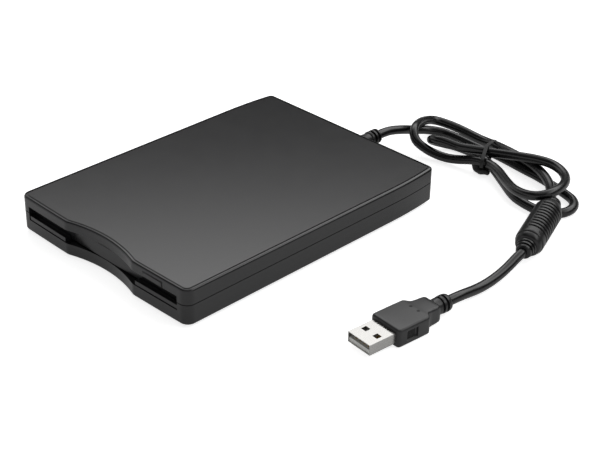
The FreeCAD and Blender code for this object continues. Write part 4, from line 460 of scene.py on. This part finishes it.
def add_grip():
    """The plug's grip: a block with side recesses, its narrow rear and a neck with two slots.
    Two dimples lie where the block narrows."""
    rings = []
    for y, width, height, corner, depth in GRIP:
        ring = []
        outline = rounded(width, height, corner)
        for i, (x, z) in enumerate(outline):
            ring.append((x, y, z))
            if i in GRIP_SIDES:
                other = outline[(i + 1) % len(outline)]
                for part, let_in in GRIP_RECESS:
                    ring.append((x + (other[0] - x) * part - math.copysign(depth * let_in, x), y,
                                 z + (other[1] - z) * part))
        rings.append(ring)
    grip = mesh_piece("plug_grip", "cord_moulding", *loft(rings), sharp=50)

    pads = []
    for side in (-1, 1):
        rings = []
        for n in range(PAD_STEPS + 1):
            reach = PAD_END if n in (0, PAD_STEPS) else PAD_FACE + PAD_RIDGE * math.cos(math.pi * n / 2)
            rings.append([(side * x, PAD_START + PAD_STEP * n, z * PAD_HALF_HEIGHT)
                          for x, z in ((PAD_BACK, -1), (reach, -1), (reach, 1), (PAD_BACK, 1))])
        pads.append(loft(rings))
    # the pads' darker colour is painted shade in the side recesses; their ribs are modelled
    pads = mesh_piece("grip_pads", "cord_jacket", *joined(pads), surface="pvc_painted_shade")

    # each dimple is a shallow disc lying on the grip's top; its darker colour is painted shade of the
    # hollow
    dimples = [loft([[(x + radius * math.cos(t), DIMPLES_Y + radius * math.sin(t), z)
                      for t in circle(12)] for radius, z in DIMPLE]) for x in DIMPLES_X]
    dimples = mesh_piece("grip_dimples", "cord_jacket", *joined(dimples), surface="pvc_painted_shade")
    for piece in (grip, pads, dimples):
        lay_plug(piece)
    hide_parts("plug_overmould")
    return [grip, dimples, pads]


# ---------------------------------------------------------------- sleeve at the drive

# Stations of y and radius from inside the wall to the cord, and where y starts.
RELIEF = [
    (-3.5, 3.55), (1.0, 3.55), (3.6, 3.5), (4.2, 3.3), (7.4, 3.1), (8.2, 3.05), (8.5, 3.3),
    (8.8, 3.45), (9.6, 3.45), (9.7, 2.5), (10.9, 2.5), (11.0, 3.45), (11.9, 3.45), (12.0, 2.5),
    (13.1, 2.5), (13.2, 3.4), (13.8, 3.35), (14.0, 3.1), (14.1, 2.3),
]
RELIEF_PLACE = Vector((4.4, 71, 10.3))


def add_relief():
    """The sleeve at the drive's back: a tapered neck, then a thicker end with two ring grooves."""
    relief = mesh_piece("relief_sleeve", "cord_moulding", *loft(turned(RELIEF)), surface="pvc_sleeve")
    relief.location = RELIEF_PLACE * MM
    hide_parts("strain_relief")
    return [relief]


# ---------------------------------------------------------------- ferrite

# Where the lower end of the ferrite's axis is in mm, and its turn and rise in degrees.
FERRITE_PLACE, FERRITE_TURN, FERRITE_RISE = Vector((109.1, 58.3, 5.53)), 19.1, 4.35
FERRITE_LENGTH, FERRITE_RADIUS = 39.5, 6.1
# Stations of y and radius at each end: the ringed collar and the shoulder.
FERRITE_END = [
    (0, 2.3), (0.15, 3.2), (1.0, 3.35), (1.1, 2.75), (1.7, 2.75), (1.8, 3.7), (2.6, 3.75),
    (2.7, 3.1), (3.2, 3.1), (3.3, 4.1), (4.0, 4.2), (4.1, 3.7), (4.5, 3.7), (4.6, 4.5),
    (5.0, 5.0), (5.7, 5.4), (6.6, 5.62), (7.2, 5.66), (7.3, 5.86), (7.5, 6.0), (8.0, 6.08), (8.4, 6.1),
]
# Where the grooves between the ribs start, and one groove's stations: how far on and how deep.
GROOVES = [10.9 + 2.05 * n for n in range(10)]
GROOVE = ((0, 0), (0.1, 0.2), (0.25, 0.75), (0.9, 0.75), (1.05, 0.2), (1.15, 0))
GROOVE_WIDTH = 1.2
# The angles in degrees between which the grooves run round the sleeve, and over how many
# degrees they run out.
GROOVES_FROM, GROOVES_TO, GROOVES_FADE = -35, 112, 9
# The moulding pin's mark: its y, its angle in degrees, and stations of radius and height.
MARK_Y, MARK_TURN = 9.5, 51
MARK = ((0.9, -0.14), (0.86, 0.02), (0.75, 0.04), (0.3, 0.04))


def add_ferrite():
    """The ferrite's moulded sleeve: ribs over its top and right, ringed collars, a pin mark."""
    stations = list(FERRITE_END)
    for y in GROOVES:
        stations += [(y + step, FERRITE_RADIUS - low) for step, low in GROOVE]
    stations += [(FERRITE_LENGTH - y, radius) for y, radius in reversed(FERRITE_END)]
    rings = turned(stations, 96)
    for ring, (y, radius) in zip(rings, stations):
        if GROOVES[0] <= y <= GROOVES[-1] + GROOVE_WIDTH:
            for n, (x, _, z) in enumerate(ring):
                turn = math.degrees(math.atan2(z, x))
                inside = min(turn - GROOVES_FROM, GROOVES_TO - turn)
                reach = min(max(inside / GROOVES_FADE, 0), 1)
                wanted = FERRITE_RADIUS - (FERRITE_RADIUS - radius) * reach
                ring[n] = (x / radius * wanted, y, z / radius * wanted)
    sleeve = mesh_piece("ferrite_sleeve", "cord_moulding", *loft(rings), surface="pvc_sleeve")

    turn = math.radians(MARK_TURN)
    out = Vector((math.cos(turn), 0, math.sin(turn)))
    side = out.cross(Vector((0, 1, 0)))
    middle = Vector((0, MARK_Y, 0))
    mark = []
    for radius, rise in MARK:
        raised = middle + out * (FERRITE_RADIUS + rise)
        mark.append([raised + (side * math.cos(t) + Vector((0, math.sin(t), 0))) * radius
                     for t in circle(12)])
    # the pin mark is a low disc standing on the sleeve; its darker colour is painted shade of the pin's
    # hole
    mark = mesh_piece("ferrite_pin_mark", "cord_jacket", *loft(mark), surface="pvc_painted_shade")
    for piece in (sleeve, mark):
        piece.matrix_world = (Matrix.Translation(FERRITE_PLACE * MM)
                              @ Matrix.Rotation(math.radians(FERRITE_TURN), 4, "Z")
                              @ Matrix.Rotation(math.radians(FERRITE_RISE), 4, "X"))
    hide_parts("ferrite_cover")
    return [sleeve, mark]


# ---------------------------------------------------------------- floor and light

# How far the floor reaches in m, and how far under the feet it lies.
FLOOR_REACH, FLOOR_DROP = 6, 0.00005
# What the floor throws back of the light on it and what it gives of its own: to plain rays, to
# mirrored ones and to the camera. The camera sees it white away from the object's shadow.
FLOOR_COLOUR = (0.85, 0.5, 0.85)
FLOOR_GLOW = (0, 0.33, 0.78)

# The sky's brightness by the sine of the height, in front of the drive and behind it.
SKY_PEAK = 3.0
FRONT_SKY = ((0.0, 0.7), (0.36, 0.85), (0.52, 0.06), (0.86, 0.06), (0.95, 0.6), (1.0, 0.7))
BACK_SKY = ((0.0, 0.09), (0.465, 0.09), (0.574, SKY_PEAK), (0.68, SKY_PEAK), (0.82, 1.2), (1.0, 0.9))
# How far back the front of the sky has turned into the back.
SKY_TURN = 0.45


def add_floor():
    """A pale floor that keeps a light shadow of the object."""
    mesh = bpy.data.meshes.new("floor")
    corners = [(x * FLOOR_REACH, y * FLOOR_REACH, 0) for x, y in ((-1, -1), (1, -1), (1, 1), (-1, 1))]
    mesh.from_pydata(corners, [], [(0, 1, 2, 3)])
    floor = bpy.data.objects.new("floor", mesh)
    floor.location.z = -FLOOR_DROP
    bpy.context.scene.collection.objects.link(floor)
    material = bpy.data.materials.new("pale_floor")
    material.cycles.emission_sampling = "NONE"
    material.use_nodes = True
    tree = material.node_tree
    tree.nodes.clear()
    path = add(tree, "ShaderNodeLightPath").outputs
    levels = []
    for plain, mirrored, direct in (FLOOR_COLOUR, FLOOR_GLOW):
        level = tint(tree, path["Is Glossy Ray"], grey(plain), grey(mirrored))
        levels.append(tint(tree, path["Is Camera Ray"], level, grey(direct)))
    lit = add(tree, "ShaderNodeBsdfDiffuse", {"Color": levels[0]}).outputs[0]
    own = add(tree, "ShaderNodeEmission", {"Color": levels[1]}).outputs[0]
    both = add(tree, "ShaderNodeAddShader", {0: lit, 1: own})
    add(tree, "ShaderNodeOutputMaterial", {"Surface": both.outputs[0]})
    mesh.materials.append(material)


def add_sky():
    """Soft light: behind the drive brightest 35 to 43 degrees up, in front of it lower down.
    The camera sees it white."""
    world = bpy.data.worlds.new("sky")
    world.use_nodes = True
    bpy.context.scene.world = world
    tree = world.node_tree
    tree.nodes.clear()
    look = add(tree, "ShaderNodeTexCoord").outputs["Generated"]
    parts = add(tree, "ShaderNodeSeparateXYZ", {"Vector": look}).outputs
    skies = []
    for stops in (FRONT_SKY, BACK_SKY):
        ramp = add(tree, "ShaderNodeValToRGB", {"Fac": parts["Z"]})
        for place, level in stops[1:-1]:
            ramp.color_ramp.elements.new(place)
        for stop, (place, level) in zip(ramp.color_ramp.elements, stops):
            stop.position = place
            stop.color = grey(level / SKY_PEAK)
        skies.append(ramp.outputs[0])
    behind = add(tree, "ShaderNodeMapRange", {"Value": parts["Y"], "From Min": 0,
                                              "From Max": SKY_TURN}, interpolation_type="SMOOTHSTEP")
    level = tint(tree, behind.outputs[0], *skies)
    seen = add(tree, "ShaderNodeLightPath").outputs["Is Camera Ray"]
    colour = tint(tree, seen, level, grey(1 / SKY_PEAK))
    back = add(tree, "ShaderNodeBackground", {"Color": colour, "Strength": SKY_PEAK})
    add(tree, "ShaderNodeOutputWorld", {"Surface": back.outputs[0]})


# ---------------------------------------------------------------- the scene

# How far the sharp edges of the outer solids are rounded, in mm.
EDGES = {"top_cover": 0.15, "bottom_cover": 0.15, "eject_button": 0.35, "slot_door": 0.2,
         "sill_strips": 0.25}

add_camera()
add_floor()
add_sky()
for node in NODES.values():
    slot = node.data.materials[0].name
    node.data.materials[0] = MATERIALS[slot]
for name, width in EDGES.items():
    soften(NODES[name], width)
add_cord([*add_tie(), *add_relief(), *add_ferrite(), *add_grip()])
